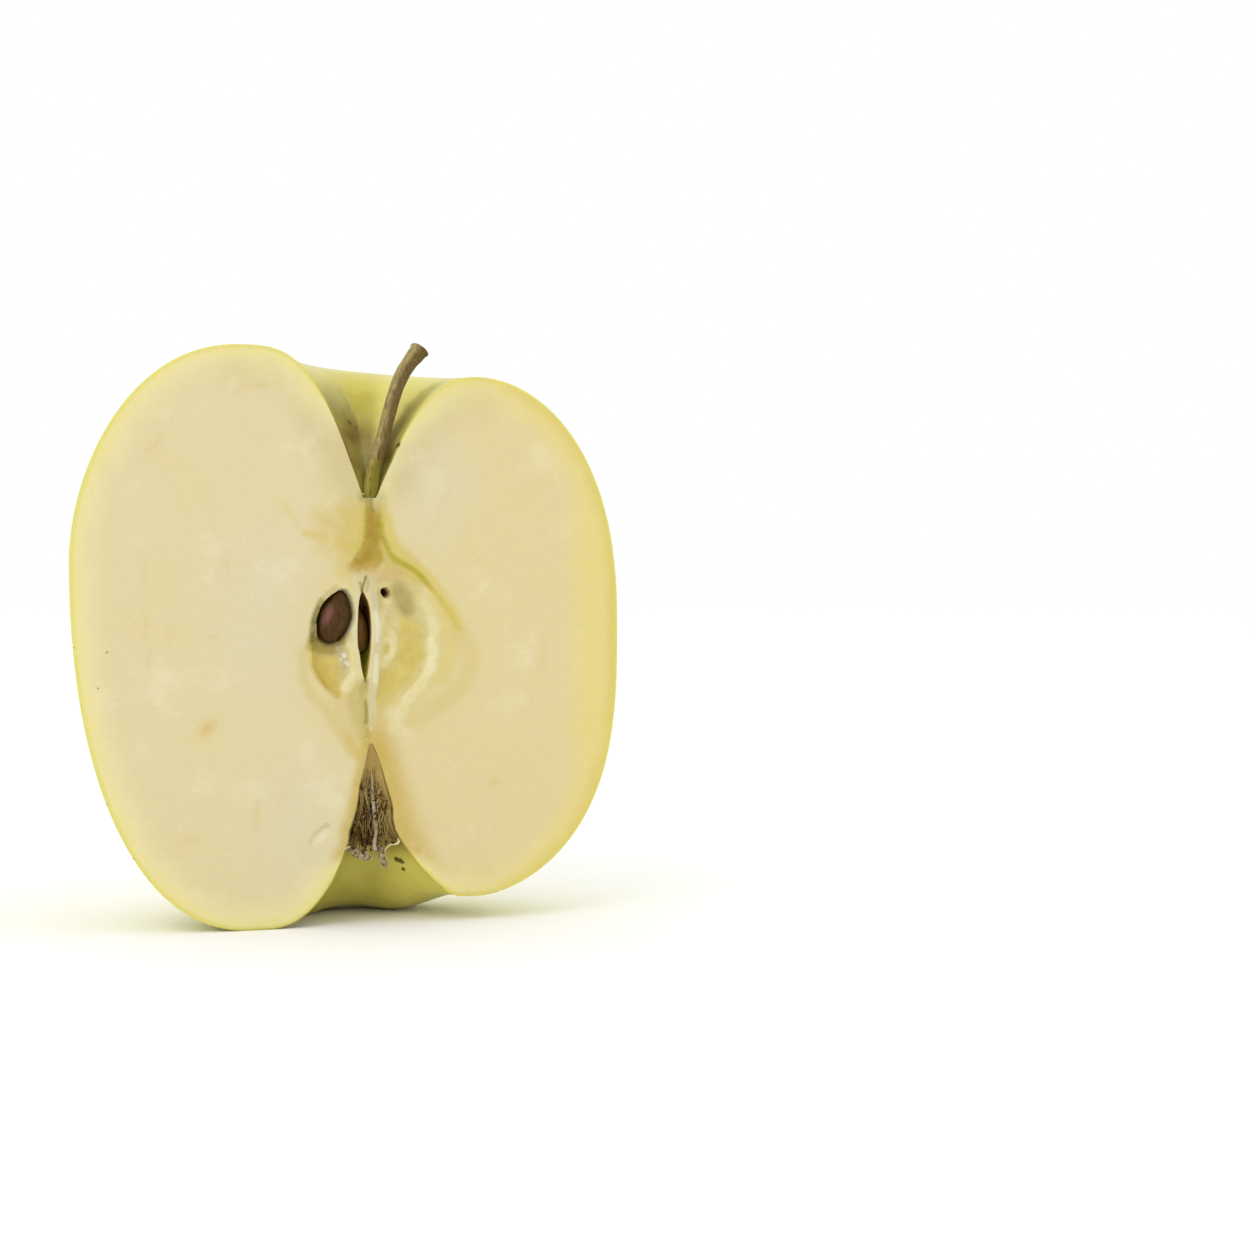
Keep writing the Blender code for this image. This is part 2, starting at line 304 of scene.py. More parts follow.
# what the knife opened: hollows, ridges and lines of the core
core = {
    "seedPocket": {"at": (-4.66, 0.21, 41.86), "half": (2.5, 3.2, 3.96), "lean": 18.0, "point": 0.34},
    "leftLocule": {"at": (-5.35, -0.63, 36.2), "half": (2.8, 3.9, 5.3), "lean": -17.0, "point": 0.0},
    "pinHole": {"at": (2.3, 0.37, 45.0), "half": (0.5, 2.6, 0.64), "lean": -25.0, "point": 0.0},
    "slit": (
        (-0.96, 45.27), (-0.72, 44.95), (-0.48, 44.51), (-0.2, 43.9), (0.01, 43.18), (0.15, 42.3),
        (0.24, 41.28), (0.28, 40.3), (0.29, 39.38), (0.25, 38.4), (0.19, 37.48), (0.08, 36.5),
        (-0.05, 35.59), (-0.17, 34.8), (-0.31, 34.07), (-0.45, 33.4), (-0.59, 32.84), (-0.72, 33.2),
        (-0.9, 33.7), (-1.06, 34.3), (-1.19, 34.85), (-1.3, 35.5), (-1.38, 36.18), (-1.48, 36.94),
        (-1.63, 37.5), (-1.71, 38.1), (-1.75, 38.9), (-1.76, 39.79), (-1.74, 40.6), (-1.7, 41.49),
        (-1.66, 42.3), (-1.6, 43.19), (-1.51, 43.9), (-1.4, 44.52), (-1.2, 45.05),
    ),
    "slitRings": (  # depth, and how broad and tall the slit is there
        (0.06, 0.97, 0.995), (0.35, 0.95, 0.99), (1.0, 1.0, 0.985), (1.8, 1.2, 0.98),
        (2.6, 1.5, 0.97), (3.6, 1.7, 0.95), (5.0, 1.8, 0.92), (6.2, 1.6, 0.86),
        (7.2, 1.2, 0.72), (7.8, 0.7, 0.45),
    ),
    "slitEnd": 8.0,
    "slitMiddle": (-0.96, -0.59),  # where its middle line ends, at the top and at the bottom
    "slitBend": 0.12,
    "rightCell": (
        (0.9, 46.9), (3.75, 46.95), (6.11, 46.17), (7.9, 44.25), (9.4, 41.37), (9.9, 38.49),
        (9.5, 34.67), (7.8, 31.6), (5.3, 29.2), (3.9, 27.9), (1.2, 28.2), (1.0, 31.0), (1.5, 36.0),
        (1.6, 40.0), (1.3, 43.5),
    ),
    "dish": (
        (2.3, 43.0), (4.33, 42.9), (6.9, 41.6), (8.0, 39.3), (8.1, 36.2), (7.2, 33.9), (5.3, 31.9),
        (3.3, 30.0), (1.6, 29.2), (1.35, 33.0), (1.7, 35.0), (2.7, 35.7), (3.9, 36.8), (4.0, 38.3),
        (3.2, 40.2),
    ),
    "outerRidge": (
        (7.3, 44.6, 0.3), (8.48, 42.5, 0.6), (8.95, 40.41, 0.8), (9.1, 38.5, 1.0), (9.1, 36.59, 1.0),
        (8.7, 34.68, 1.1), (7.7, 32.97, 1.0), (6.2, 31.28, 1.1), (5.0, 30.0, 0.9), (4.2, 28.4, 0.6),
    ),
    "innerRidge": (
        (2.3, 40.6, 0.2), (2.75, 39.73, 0.5), (3.33, 38.58, 0.7), (3.4, 37.43, 0.7), (2.9, 36.3, 0.6),
        (2.2, 35.3, 0.4),
    ),
    "rightSeptum": (
        (0.02, 47.35, 0.3), (0.55, 45.26, 0.5), (0.85, 43.17, 0.7), (1.0, 41.46, 0.8), (1.05, 39.56, 0.85),
        (0.98, 37.66, 0.85), (0.82, 35.76, 0.9), (0.65, 33.86, 1.0), (0.45, 31.96, 0.9), (0.33, 30.07, 0.8),
        (0.26, 27.98, 0.7), (0.25, 25.9, 0.3),
    ),
    "goldStrip": (
        (0.3, 58.2, 1.7), (0.28, 56.0, 1.6), (0.3, 54.17, 1.9), (0.25, 51.9, 2.0), (0.05, 50.4, 2.7),
        (-0.35, 49.1, 3.6), (-0.6, 48.2, 2.2),
    ),
    "topCracks": (
        ((-0.46, 47.3, 0.04), (-0.7, 46.7, 0.08), (-0.92, 46.1, 0.07), (-1.05, 45.2, 0.12)),
        ((-1.25, 46.4, 0.04), (-1.12, 45.8, 0.05), (-1.15, 45.2, 0.08)),
    ),
    "lowCrack": (
        (-0.6, 32.9, 0.25), (-0.88, 31.42, 0.5), (-0.82, 30.09, 0.55), (-0.6, 27.84, 0.5), (-0.62, 25.6, 0.3),
    ),
    "leftRidge": ((-2.3, 35.8, 0.3), (-2.3, 34.67, 0.5), (-2.9, 33.36, 0.5), (-3.7, 31.9, 0.3)),
}


def warped(spots):  # the same spots, moved a little, so that no edge is ruled
    lines = across(spots)
    moved = np.array(spots, float)
    for axis, seed in ((0, 3), (1, 8)):
        moved[:, axis] += 0.2 * ripple(lines, 2.4, seed) + 0.07 * ripple(lines, 0.75, seed + 1)
    return moved


def eggDepth(spots, egg):
    lean = math.radians(egg["lean"])
    right, up = spots[:, 0] - egg["at"][0], spots[:, 1] - egg["at"][2]
    side = right * math.cos(lean) - up * math.sin(lean)
    tall = right * math.sin(lean) + up * math.cos(lean)
    narrow = 1 - egg["point"] * np.clip(tall / egg["half"][2], 0, 1) ** 1.5
    left = 1 - (side / (egg["half"][0] * narrow)) ** 2 - (tall / egg["half"][2]) ** 2
    deep = egg["at"][1] + egg["half"][1] * narrow * np.sqrt(np.maximum(left, 0.0))
    return np.where(left > 0, np.maximum(deep, 0.0), 0.0)


def eggRim(egg, count):  # where a hollow meets the cut face
    angles = np.arange(count) / count * 2 * math.pi
    ways = np.column_stack((np.cos(angles), np.sin(angles)))
    centre = np.array((egg["at"][0], egg["at"][2]))
    near, far = np.zeros(count), np.full(count, 9.0)
    for halving in range(14):
        middle = (near + far) / 2
        hollow = eggDepth(warped(centre + ways * middle[:, None]), egg) > 0
        near, far = np.where(hollow, middle, near), np.where(hollow, far, middle)
    return centre + ways * near[:, None]


carving = {
    "cell": 0.3,
    "dish": 0.65,
    "crack": 0.4,
    "lowCrack": 0.16,
    "gold": 0.12,
    "locule": 0.55,
    "sweep": 0.05,  # the slow unevenness that the knife left
}


def carve(spots):  # how deep the cut face lies at each spot
    moved = warped(spots)
    deep = np.zeros(len(spots))
    cell = onPatch(moved, core["rightCell"], 0.9)
    dish = onPatch(moved, core["dish"], 1.8)
    ridges = np.maximum(onLine(moved, core["outerRidge"], 0.8), 0.3 * onLine(moved, core["innerRidge"], 0.9))
    ridges = np.maximum(ridges, onLine(moved, core["rightSeptum"], 0.3))
    deep += (carving["cell"] * cell + carving["dish"] * dish) * (1 - 0.93 * ridges)
    lumps = 0.2 * ripple(across(spots), 1.5, 21) + 0.06 * ripple(across(spots), 0.6, 22)
    deep += lumps * cell * (0.4 + dish)
    for crack in core["topCracks"]:
        deep += 0.5 * carving["crack"] * onLine(spots, crack, 0.07)
    deep += carving["lowCrack"] * onLine(moved, core["lowCrack"], 0.5)
    deep += carving["gold"] * onLine(moved, core["goldStrip"], 0.4)
    locule = eggDepth(moved, core["leftLocule"])
    locule *= carving["locule"] * easeStep(locule, 0.0, 2.6)
    locule *= 1 - 0.6 * onLine(moved, core["leftRidge"], 0.9)
    locule *= 1 + 0.25 * ripple(across(spots), 1.4, 25)
    deeper = np.maximum(eggDepth(moved, core["seedPocket"]), eggDepth(moved, core["pinHole"]))
    return np.maximum(deep + np.maximum(locule, deeper), 0.0)


# the colours of the cut face, laid one over another
pulpColours = {
    "left": (229, 215, 168),
    "right": (229, 213, 161),
    "pale": (224, 216, 184),
    "heart": (224, 208, 148),
    "byCalyx": (206, 178, 84),
    "byPit": (209, 195, 140),
    # painted shade in the seed pocket's hollow
    "pocket": (96, 84, 26),
    "pocketLip": (214, 204, 160),
    # painted shade in the deep pin hole
    "pinHoleShade": (110, 74, 36),
    "slitLip": (206, 188, 140),
    # painted shade deep in the slit
    "slitDeepShade": (158, 116, 50),
    "slitLow": (212, 206, 84),
    "lightness": 0.9,
}
# each stroke: colour, strength, softness of its edge, and its points; where points have a third
# number, the breadth there, the stroke is a line, and elsewhere they are the edge of a patch
coreStrokes = (
    ((212, 191, 104), 0.75, 4, (
        (-7.4, 55.8), (-6.9, 51), (-3.5, 49.4), (-1, 50.3), (-0.6, 57.8), (-3, 57.8),
    )),
    ((205, 183, 76), 0.8, 1.8, (
        (1.3, 53.8), (4.4, 50.9), (6.6, 49.3), (8.4, 46.6), (6.6, 45.6), (4.6, 46.6), (2.2, 48.2),
        (1.1, 50.5),
    )),
    ((202, 182, 100), 0.75, 1.6, (
        (-2.8, 34.2), (-0.8, 33), (-0.3, 26), (-1.2, 24), (-2.4, 27), (-3.4, 31),
    )),
    ((214, 194, 128), 0.5, 1.8, ((-5.2, 33, 0.4), (-4.2, 29.8, 0.8), (-2.8, 26.4, 0.6))),
    ((218, 198, 112), 0.6, 1.54, (
        (-1.2, 58.7, 0.19), (-1.8, 51.3, 0.7), (-2.7, 49.5, 0.8), (-3.7, 48.1, 0.6),
    )),
    ((216, 196, 112), 0.6, 1.54, ((1.6, 58.7, 0.19), (1.9, 54.7, 1), (3, 51.3, 1), (4.9, 49.4, 0.6))),
    ((216, 199, 134), 0.7, 2.5, (
        (-3.3, 49.1), (1.4, 49.4), (4.5, 48.1), (7.1, 46.2), (7.7, 44.2), (2.6, 45.4), (-2.7, 45.9),
    )),
    ((216, 192, 100), 0.62, 0.85, ((-8.9, 53.1, 0.08), (-7.2, 52.8, 0.31), (-1.7, 50.9, 0.38))),
    ((218, 198, 118), 0.28, 0.85, ((-12.1, 57.2, 0.08), (-10.6, 55.5, 0.15), (-9.5, 53.8, 0.08))),
    ((186, 158, 44), 0.95, 0.5, (
        (-0.7, 59.3), (-0.74, 54.36), (-0.88, 52.3), (-1.35, 51.1), (-2.1, 50.1), (-2.6, 49.1), (-2.75, 48.3),
        (-1.9, 48.35), (-1.55, 47.75), (-1, 48.3), (-0.3, 48.05), (0.3, 48.6), (0.84, 48.3), (2, 49.3),
        (1.72, 51.9), (1.7, 59.3),
    )),
    ((188, 162, 56), 0.8, 0.3, ((0.3, 59, 0.7), (0.4, 55.6, 0.8))),
    ((208, 194, 88), 0.75, 0.5, (
        (-0.95, 58.71, 0.19), (-1.1, 53.4, 0.19), (-1.5, 51.6, 0.23), (-2.4, 50.4, 0.15),
    )),
    ((196, 184, 66), 0.75, 0.4, ((2.05, 58.72, 0.15), (1.9, 53.98, 0.19))),
    ((164, 134, 22), 0.6, 0.85, (
        (0.4, 58.7, 0.7), (0.5, 54, 0.9), (0.4, 52.1, 0.9), (0, 50.4, 0.8), (-1.6, 49, 0.4),
    )),
    # painted shadow at the stem's foot, on either side of it
    ((130, 122, 34), 0.85, 0.85, ((-1, 58.1, 0.31), (0.1, 58, 0.42), (1.4, 58.1, 0.31))),
    ((140, 124, 30), 0.5, 0.58, ((0.64, 57.77, 0.23), (0.56, 56.44, 0.19))),
    ((198, 168, 88), 0.65, 0.77, ((-2.5, 48.5, 0.58), (-1.3, 48, 0.69), (0, 48.2, 0.69), (1, 48.7, 0.38))),
    ((208, 180, 112), 0.6, 1.06, ((0.6, 46.8, 0.8), (2.4, 47.5, 1), (4, 47.5, 0.6))),
    ((220, 202, 108), 0.75, 1, (
        (2.5, 55.2, 0.1), (2.8, 52.6, 0.5), (3.4, 50.7, 0.8), (4.3, 49.8, 0.8), (7.9, 47.2, 0.8),
        (9.8, 45, 0.8),
        (11.6, 42.4, 0.8), (12.5, 40.4, 0.5),
    )),
    ((182, 168, 40), 0.9, 0.42, (
        (1.62, 54.4, 0.1), (1.72, 53.3, 0.25), (2.05, 52, 0.36), (2.81, 50.37, 0.38), (3.6, 49.46, 0.46),
        (5.53, 48.5, 0.35), (6.51, 47.88, 0.31), (7.5, 46.92, 0.42), (8.49, 45.77, 0.23),
    )),
    ((208, 184, 74), 0.85, 0.46, (
        (8.49, 45.77, 0.23), (9.48, 44.62, 0.38), (11.07, 42.4, 0.46), (12.36, 40.08, 0.23),
    )),
    ((160, 128, 46), 0.6, 0.31, ((1.7, 52.56, 0.15), (2.03, 51.89, 0.23))),
    ((206, 186, 104), 0.6, 0.38, ((1.5, 51.89, 0.15), (2.57, 49.04, 0.23), (2.38, 48.66, 0.15))),
    ((219, 205, 140), 0.8, 1.73, (
        (0.6, 46.2), (3.8, 46.8), (6.1, 46.2), (7.7, 44.6), (9.7, 41.7), (10.7, 38.5), (10.1, 34.7),
        (8.1, 31.2),
        (3.7, 27.3), (1.3, 27.4), (1.8, 38.6), (1.4, 42.4),
    )),
    ((222, 205, 122), 0.6, 1.35, (
        (8.7, 43.9, 0.8), (10.3, 41.5, 1.1), (11.5, 39.2, 1.1), (11.4, 36.5, 1), (10.1, 33.5, 0.8),
    )),
    ((214, 196, 116), 0.4, 1.83, (
        (12.5, 39.8, 0.6), (14.1, 37.3, 0.8), (14.3, 35, 0.8), (13.4, 32.9, 0.8), (11.4, 30.8, 0.8),
        (8.4, 28.9, 0.8), (6.1, 27.3, 0.6),
    )),
    ((210, 198, 138), 0.6, 1.35, ((3.7, 44.3, 1.1), (5.9, 42.4, 1.1), (6.5, 40.8, 0.8))),
    ((219, 200, 108), 0.85, 1.83, (
        (4.9, 40.8, 1.1), (6.1, 39.1, 1.9), (6.2, 37, 2.3), (5.5, 35.1, 2.3), (2.7, 32.3, 1.7),
        (1.6, 30.8, 1),
    )),
    ((206, 182, 84), 0.45, 1.15, ((5.5, 39.7, 0.6), (6, 38, 1.1), (5.5, 36.1, 1.1))),
    ((206, 182, 92), 0.45, 1.15, ((3.3, 34.2, 0.8), (2.3, 32.9, 1))),
    ((216, 197, 120), 0.6, 0.96, ((1.5, 31, 0.58), (1.6, 27.8, 0.77))),
    ((180, 164, 92), 0.9, 1.46, ((4, 45.4, 0.8), (4.8, 44.2, 1.3), (5.5, 42.8, 0.6))),
    ((194, 176, 112), 0.6, 0.77, ((1.4, 45.1, 0.38), (1.6, 43.2, 0.38))),
    ((196, 182, 84), 0.6, 0.65, ((2.4, 41.4, 0.38), (2.5, 40.3, 0.5), (2.4, 39.5, 0.27))),
    ((190, 175, 54), 0.85, 0.5, ((2.35, 37.83, 0.58), (2.42, 37.07, 0.5))),
    ((216, 201, 114), 0.5, 0.58, ((1.8, 38.6, 0.38), (1.65, 36.51, 0.38))),
    ((224, 212, 156), 0.35, 0.77, ((2.7, 43.9, 0.31), (2.4, 42.6, 0.38), (1.7, 41.3, 0.31))),
    ((224, 212, 152), 0.35, 0.88, ((4.1, 41.4, 0.38), (3.4, 39.7, 0.58))),
    ((226, 214, 154), 0.35, 0.85, (
        (3, 40.7, 0.19), (3.2, 39.7, 0.46), (3.5, 38.6, 0.23), (3.4, 37.6, 0.5),
    )),
    ((230, 219, 164), 0.6, 0.65, ((3.2, 37, 0.31), (3, 36.3, 0.65), (2.3, 35.4, 0.5), (1.8, 35.2, 0.12))),
    ((227, 215, 156), 0.6, 1.15, (
        (7.5, 44.1, 0.19), (8.5, 42.3, 0.4), (8.9, 40.8, 0.6), (8.7, 39.3, 0.6), (9.1, 37.7, 0.8),
        (8.9, 36.2, 0.8), (8.5, 34.9, 1), (7.6, 33.6, 0.7), (7, 32.5, 0.8), (4.9, 30.5, 0.8),
        (3.4, 27.3, 0.4),
    )),
    ((230, 219, 162), 0.5, 0.85, ((7.7, 43.6, 0.19), (8.5, 42.3, 0.5), (8.7, 41.4, 0.23))),
    ((231, 221, 166), 0.62, 0.77, ((8.8, 41.4, 0.31), (9.2, 40.3, 0.77), (8.9, 39.3, 0.35))),
    ((236, 227, 178), 0.8, 0.69, (
        (8.5, 38.5, 0.31), (8.7, 37.5, 1.08), (8.9, 36.5, 0.77), (8.5, 36, 0.23),
    )),
    ((238, 229, 182), 0.8, 0.73, ((8.5, 35.8, 0.31), (8.5, 34.9, 1.04), (8, 33.9, 0.38))),
    ((233, 223, 170), 0.65, 0.81, ((7.6, 33.4, 0.31), (7.2, 32.4, 0.92), (6.6, 31.9, 0.35))),
    ((233, 223, 170), 0.6, 0.81, ((6.1, 31.7, 0.31), (5.7, 30.9, 0.85), (5, 30.4, 0.35))),
    ((233, 223, 170), 0.6, 0.81, ((5, 30.2, 0.31), (4.6, 29.2, 0.77), (4.2, 28.4, 0.27))),
    ((231, 221, 168), 0.45, 0.85, ((3.8, 28.2, 0.27), (3.5, 27.1, 0.5), (3.2, 26, 0.19))),
    ((216, 200, 138), 0.85, 1.15, (
        (-8.2, 39.9), (-8.8, 37.8), (-7.6, 34.8), (-6.6, 33), (-5.5, 31.7), (-4.4, 31.1), (-3.4, 31.5),
        (-1.8, 35.2), (-2, 38.6), (-2.7, 40.6), (-5.3, 38.7), (-7.2, 40.2),
    )),
    # painted shade under the seed, an olive band
    ((174, 154, 66), 0.9, 1.15, ((-7.8, 38, 0.8), (-6.4, 37.8, 1.6), (-4.5, 37.7, 1))),
    ((222, 199, 106), 0.85, 1.08, (
        (-8.2, 36.8), (-3.9, 36.6), (-2.7, 34.9), (-3.1, 33.5), (-4.3, 31.3), (-6.4, 32.9), (-7.7, 34.7),
    )),
    ((214, 189, 88), 0.8, 1.15, ((-7.4, 35.9, 1), (-6.5, 34.4, 1.4), (-4.5, 31.8, 0.5))),
    ((186, 158, 66), 0.55, 0.54, (
        (-7.8, 35.34, 0.19), (-6.93, 33.62, 0.31), (-5.87, 32.28, 0.31), (-4.61, 31.27, 0.27),
    )),
    ((227, 216, 162), 0.85, 0.96, (
        (-2.8, 37.9, 1.15), (-2.6, 35.8, 1.54), (-2.6, 33.9, 1.15), (-3.3, 32.4, 0.69),
    )),
    ((204, 194, 150), 0.7, 0.54, ((-4.01, 37.73, 0.38), (-3.62, 36.4, 0.46), (-3.34, 35.07, 0.31))),
    ((236, 227, 176), 0.8, 0.38, ((-2.36, 34.11, 0.23), (-3.15, 33.17, 0.35), (-3.58, 32.14, 0.23))),
    # painted shadow beneath the seed
    ((138, 120, 54), 0.85, 0.65, (
        (-6.9, 39, 0.31), (-5.5, 38.2, 0.42), (-3.9, 38.5, 0.35), (-3.1, 39.6, 0.19),
    )),
    # painted shade along the seed pocket's left side
    ((122, 112, 36), 0.9, 0.65, (
        (-6.7, 44, 0.12), (-7.3, 42.7, 0.31), (-7.6, 41.4, 0.5), (-8, 38.7, 0.27),
    )),
    # painted shade above and left of the seed
    ((192, 178, 114), 0.6, 0.58, ((-4.66, 45.77, 0.23), (-5.83, 44.93, 0.31), (-6.8, 43.72, 0.23))),
    # painted shade between the left septum and the seed
    ((206, 196, 140), 0.6, 0.54, ((-2.09, 45.47, 0.12), (-2.42, 40.93, 0.42), (-2.84, 38.95, 0.58))),
    ((214, 200, 144), 0.7, 0.85, ((-1.9, 47, 0.77), (-0.8, 47, 0.96), (0.6, 46.8, 0.77))),
    ((222, 213, 166), 0.8, 0.46, (
        (-2.21, 46.99, 0.12), (-2.02, 45.09, 0.29), (-2.11, 40.55, 0.35), (-1.92, 38.65, 0.38),
        (-1.61, 36.94, 0.23),
    )),
    ((210, 202, 160), 0.85, 0.5, (
        (-0.37, 47.26, 0.15), (0.37, 45.26, 0.31), (0.79, 43.55, 0.42), (1.04, 41.84, 0.48),
        (1.17, 39.75, 0.5),
        (0.76, 33.86, 0.58), (0.5, 31.97, 0.52), (0.38, 30.07, 0.42), (0.51, 27.4, 0.31),
    )),
    ((236, 230, 194), 0.7, 0.38, ((0.89, 36.52, 0.15), (0.81, 34.81, 0.35), (0.68, 33.1, 0.27))),
    ((200, 194, 160), 0.7, 0.23, ((0.49, 45.64, 0.12), (0.64, 44.31, 0.27), (0.71, 42.79, 0.15))),
    ((234, 230, 200), 0.6, 0.27, ((0.83, 42.41, 0.12), (1.06, 40.51, 0.23), (1.05, 38.61, 0.15))),
    ((132, 118, 50), 0.7, 0.23, ((-0.45, 47.26, 0.04), (-0.92, 46.03, 0.1), (-1.08, 45.18, 0.12))),
    ((156, 142, 84), 0.6, 0.23, ((-1.35, 46.41, 0.04), (-1.2, 45.46, 0.08))),
    ((170, 158, 104), 0.5, 0.27, ((-0.18, 46.97, 0.04), (-0.26, 46.21, 0.12), (-0.42, 45.27, 0.08))),
    ((176, 164, 78), 0.75, 0.73, ((-0.6, 33.1, 0.23), (-0.8, 32, 0.5))),
    ((200, 186, 112), 0.7, 0.77, ((-0.9, 31.6, 0.35), (-0.6, 27.2, 0.35))),
    ((160, 144, 62), 0.8, 0.31, ((-0.62, 30.47, 0.08), (-0.47, 29.13, 0.19), (-0.51, 27.42, 0.23))),
    ((212, 194, 120), 0.5, 1.08, (
        (-9.4, 37.2, 0.19), (-9.1, 33.5, 0.27), (-8.2, 31.4, 0.3), (-6.5, 29.8, 0.3), (-2.8, 23.9, 0.4),
    )),
    # painted glints on the wet flesh of the left locule, three small highlights
    ((248, 246, 232), 0.95, 0.15, ((-3.41, 36.74, 0.27), (-3.29, 36.43, 0.27))),
    ((248, 246, 232), 0.95, 0.15, ((-3.14, 35.67, 0.23), (-2.98, 35.37, 0.23))),
    ((240, 236, 214), 0.85, 0.15, ((-3.72, 36.1, 0.12), (-3.61, 35.91, 0.12))),
    # a small nick by the calyx, painted as a shaded edge with a highlighted edge beside it
    ((188, 180, 124), 0.6, 0.5, ((-8.3, 11.6, 0.1), (-7.4, 12.7, 0.25), (-6.1, 13.8, 0.15))),
    ((238, 231, 198), 0.6, 0.7, ((-7.7, 11.7, 0.3), (-7, 12.1, 0.5), (-6.4, 12.9, 0.2))),
    ((212, 190, 104), 0.7, 1.18, ((-2.9, 25.6, 0.11), (-1.9, 23.3, 0.4))),
    ((214, 190, 100), 0.72, 1.32, ((0.7, 25.4, 0.11), (1.6, 22.6, 0.7))),
    ((224, 218, 180), 0.6, 0.45, ((0.28, 26.58, 0.13), (0.38, 23.85, 0.16))),
    ((150, 134, 62), 0.75, 0.29, ((-0.31, 26.59, 0.08), (-0.45, 24.65, 0.21), (-0.4, 23.35, 0.13))),
    ((172, 150, 84), 0.7, 0.34, ((-0.04, 26.07, 0.08), (0.11, 23.86, 0.24))),
)
smudges = (  # place, how long, how broad, which way, how strong
    ((-22.3, 27.2), 1.4, 0.8, 42.0, 0.8),
    ((-30.6, 48.2), 1.9, 0.4, 90.0, 0.2),
    ((-30.4, 41.3), 1.8, 0.4, 88.0, 0.35),
    ((-30.0, 36.9), 1.5, 0.4, 84.0, 0.25),
    ((-19.6, 48.4), 1.6, 0.45, 90.0, 0.2),
    ((-21.6, 39.4), 0.8, 0.4, 0.0, 0.3),
    ((-24.6, 12.5), 1.2, 0.5, 10.0, 0.3),
    ((-15.7, 15.5), 2.0, 0.5, 88.0, 0.3),
    ((17.7, 18.9), 1.0, 0.8, 0.0, 0.35),
    ((-29.1, 64.9), 1.6, 0.6, 50.0, 0.3),
    ((-15.0, 72.8), 3.4, 0.3, 8.0, 0.3),
    ((-36.2, 63.4), 1.6, 0.8, 70.0, 0.6),
    ((22.0, 58.0), 3.0, 0.4, 30.0, 0.18),
    ((-27.0, 40.0), 2.4, 0.5, 80.0, 0.16),
    ((15.0, 50.0), 2.6, 0.4, -40.0, 0.18),
    ((9.4, 55.2), 3.6, 0.5, 62.0, 0.16),
    ((24.6, 36.0), 3.2, 0.5, 84.0, 0.16),
    ((-12.0, 18.0), 3.0, 0.5, 70.0, 0.14),
)
smudgeColour = (216, 190, 104)
softSpots = (  # colour, middle, half sizes, and where it begins and ends to fade
    ("pale", (9.0, 60.0), (7.0, 12.0), (0.1, 1.3)),
    ("pale", (-14.0, 42.0), (9.0, 16.0), (0.1, 1.3)),
    ("pale", (-10.0, 14.0), (9.0, 12.0), (0.1, 1.3)),
    ("heart", (1.0, 38.0), (15.0, 16.5), (0.5, 1.1)),
)
margin = {  # darker flesh beside the calyx tube and the stem pit
    "left": 1.5,
    "right": 4.2,
    "fade": (0.15, 1.2),
    "low": (4.5, 9.5),
    "high": (25.0, 31.0),
    "pitReach": 7.5,
    "pitLow": (55.0, 60.0),
}


def laid(under, colour, share):
    share = np.clip(share, 0.0, 1.0)[:, None]
    return under * (1 - share) + np.array(paintColour(*colour)[:3]) * share


def pulpTint(spots):
    x, z = spots[:, 0], spots[:, 1]
    moved = spots + 0.35 * (warped(spots) - spots)
    furtherMoved = spots + 0.6 * (warped(spots) - spots)
    uneven = 1 + 0.16 * ripple(across(spots), 0.8, 33)
    tint = np.tile(np.array(paintColour(*pulpColours["left"])[:3]), (len(spots), 1))
    tint = laid(tint, pulpColours["right"], easeStep(x, -12.0, 12.0))
    for name, (right, up), (broad, tall), fade in softSpots:
        far = np.hypot((x - right) / broad, (z - up) / tall)
        tint = laid(tint, pulpColours[name], 0.5 * (1 - easeStep(far, *fade)))
    for colour, strength, soft, points in coreStrokes:
        lay = onLine if len(points[0]) == 3 else onPatch
        tint = laid(tint, colour, strength * lay(moved, points, soft) * uneven)
    byCalyx = gapToLine(furtherMoved, calyxEdgeLine) / np.where(x < 0.2, margin["left"], margin["right"])
    share = (1 - easeStep(byCalyx, *margin["fade"])) * easeStep(z, *margin["low"])
    share *= 1 - easeStep(z, *margin["high"])
    tint = laid(tint, pulpColours["byCalyx"], 0.85 * share * uneven)
    byPit = 1 - easeStep(gapToLine(furtherMoved, pitEdgeLine), 0.0, margin["pitReach"])
    tint = laid(tint, pulpColours["byPit"], 0.75 * byPit * easeStep(z, *margin["pitLow"]))
    pocket = eggDepth(moved, core["seedPocket"])
    rightward = easeStep(x + 0.4 * (z - 42), -5.0, -3.4)
    tint = laid(tint, pulpColours["pocketLip"], 0.8 * easeStep(pocket, 0.05, 0.5) * rightward)
    # painted shade inside the seed pocket, strongest on its left, with a pale lip kept on its right
    pocketShade = easeStep(pocket, 0.05 + 0.25 * rightward, 0.9) * (1 - 0.6 * rightward)
    tint = laid(tint, pulpColours["pocket"], 0.95 * pocketShade)
    # painted shade in the pin hole, darker where it is deeper
    tint = laid(tint, pulpColours["pinHoleShade"], easeStep(eggDepth(moved, core["pinHole"]), 0.05, 0.3))
    for place, long, broad, way, strength in smudges:
        turn = math.radians(way)
        right, up = x - place[0], z - place[1]
        along = (right * math.cos(turn) + up * math.sin(turn)) / long
        beside = (up * math.cos(turn) - right * math.sin(turn)) / broad
        tint = laid(tint, smudgeColour, strength * np.exp(-(along**2) - beside**2))
    return tint * pulpColours["lightness"]


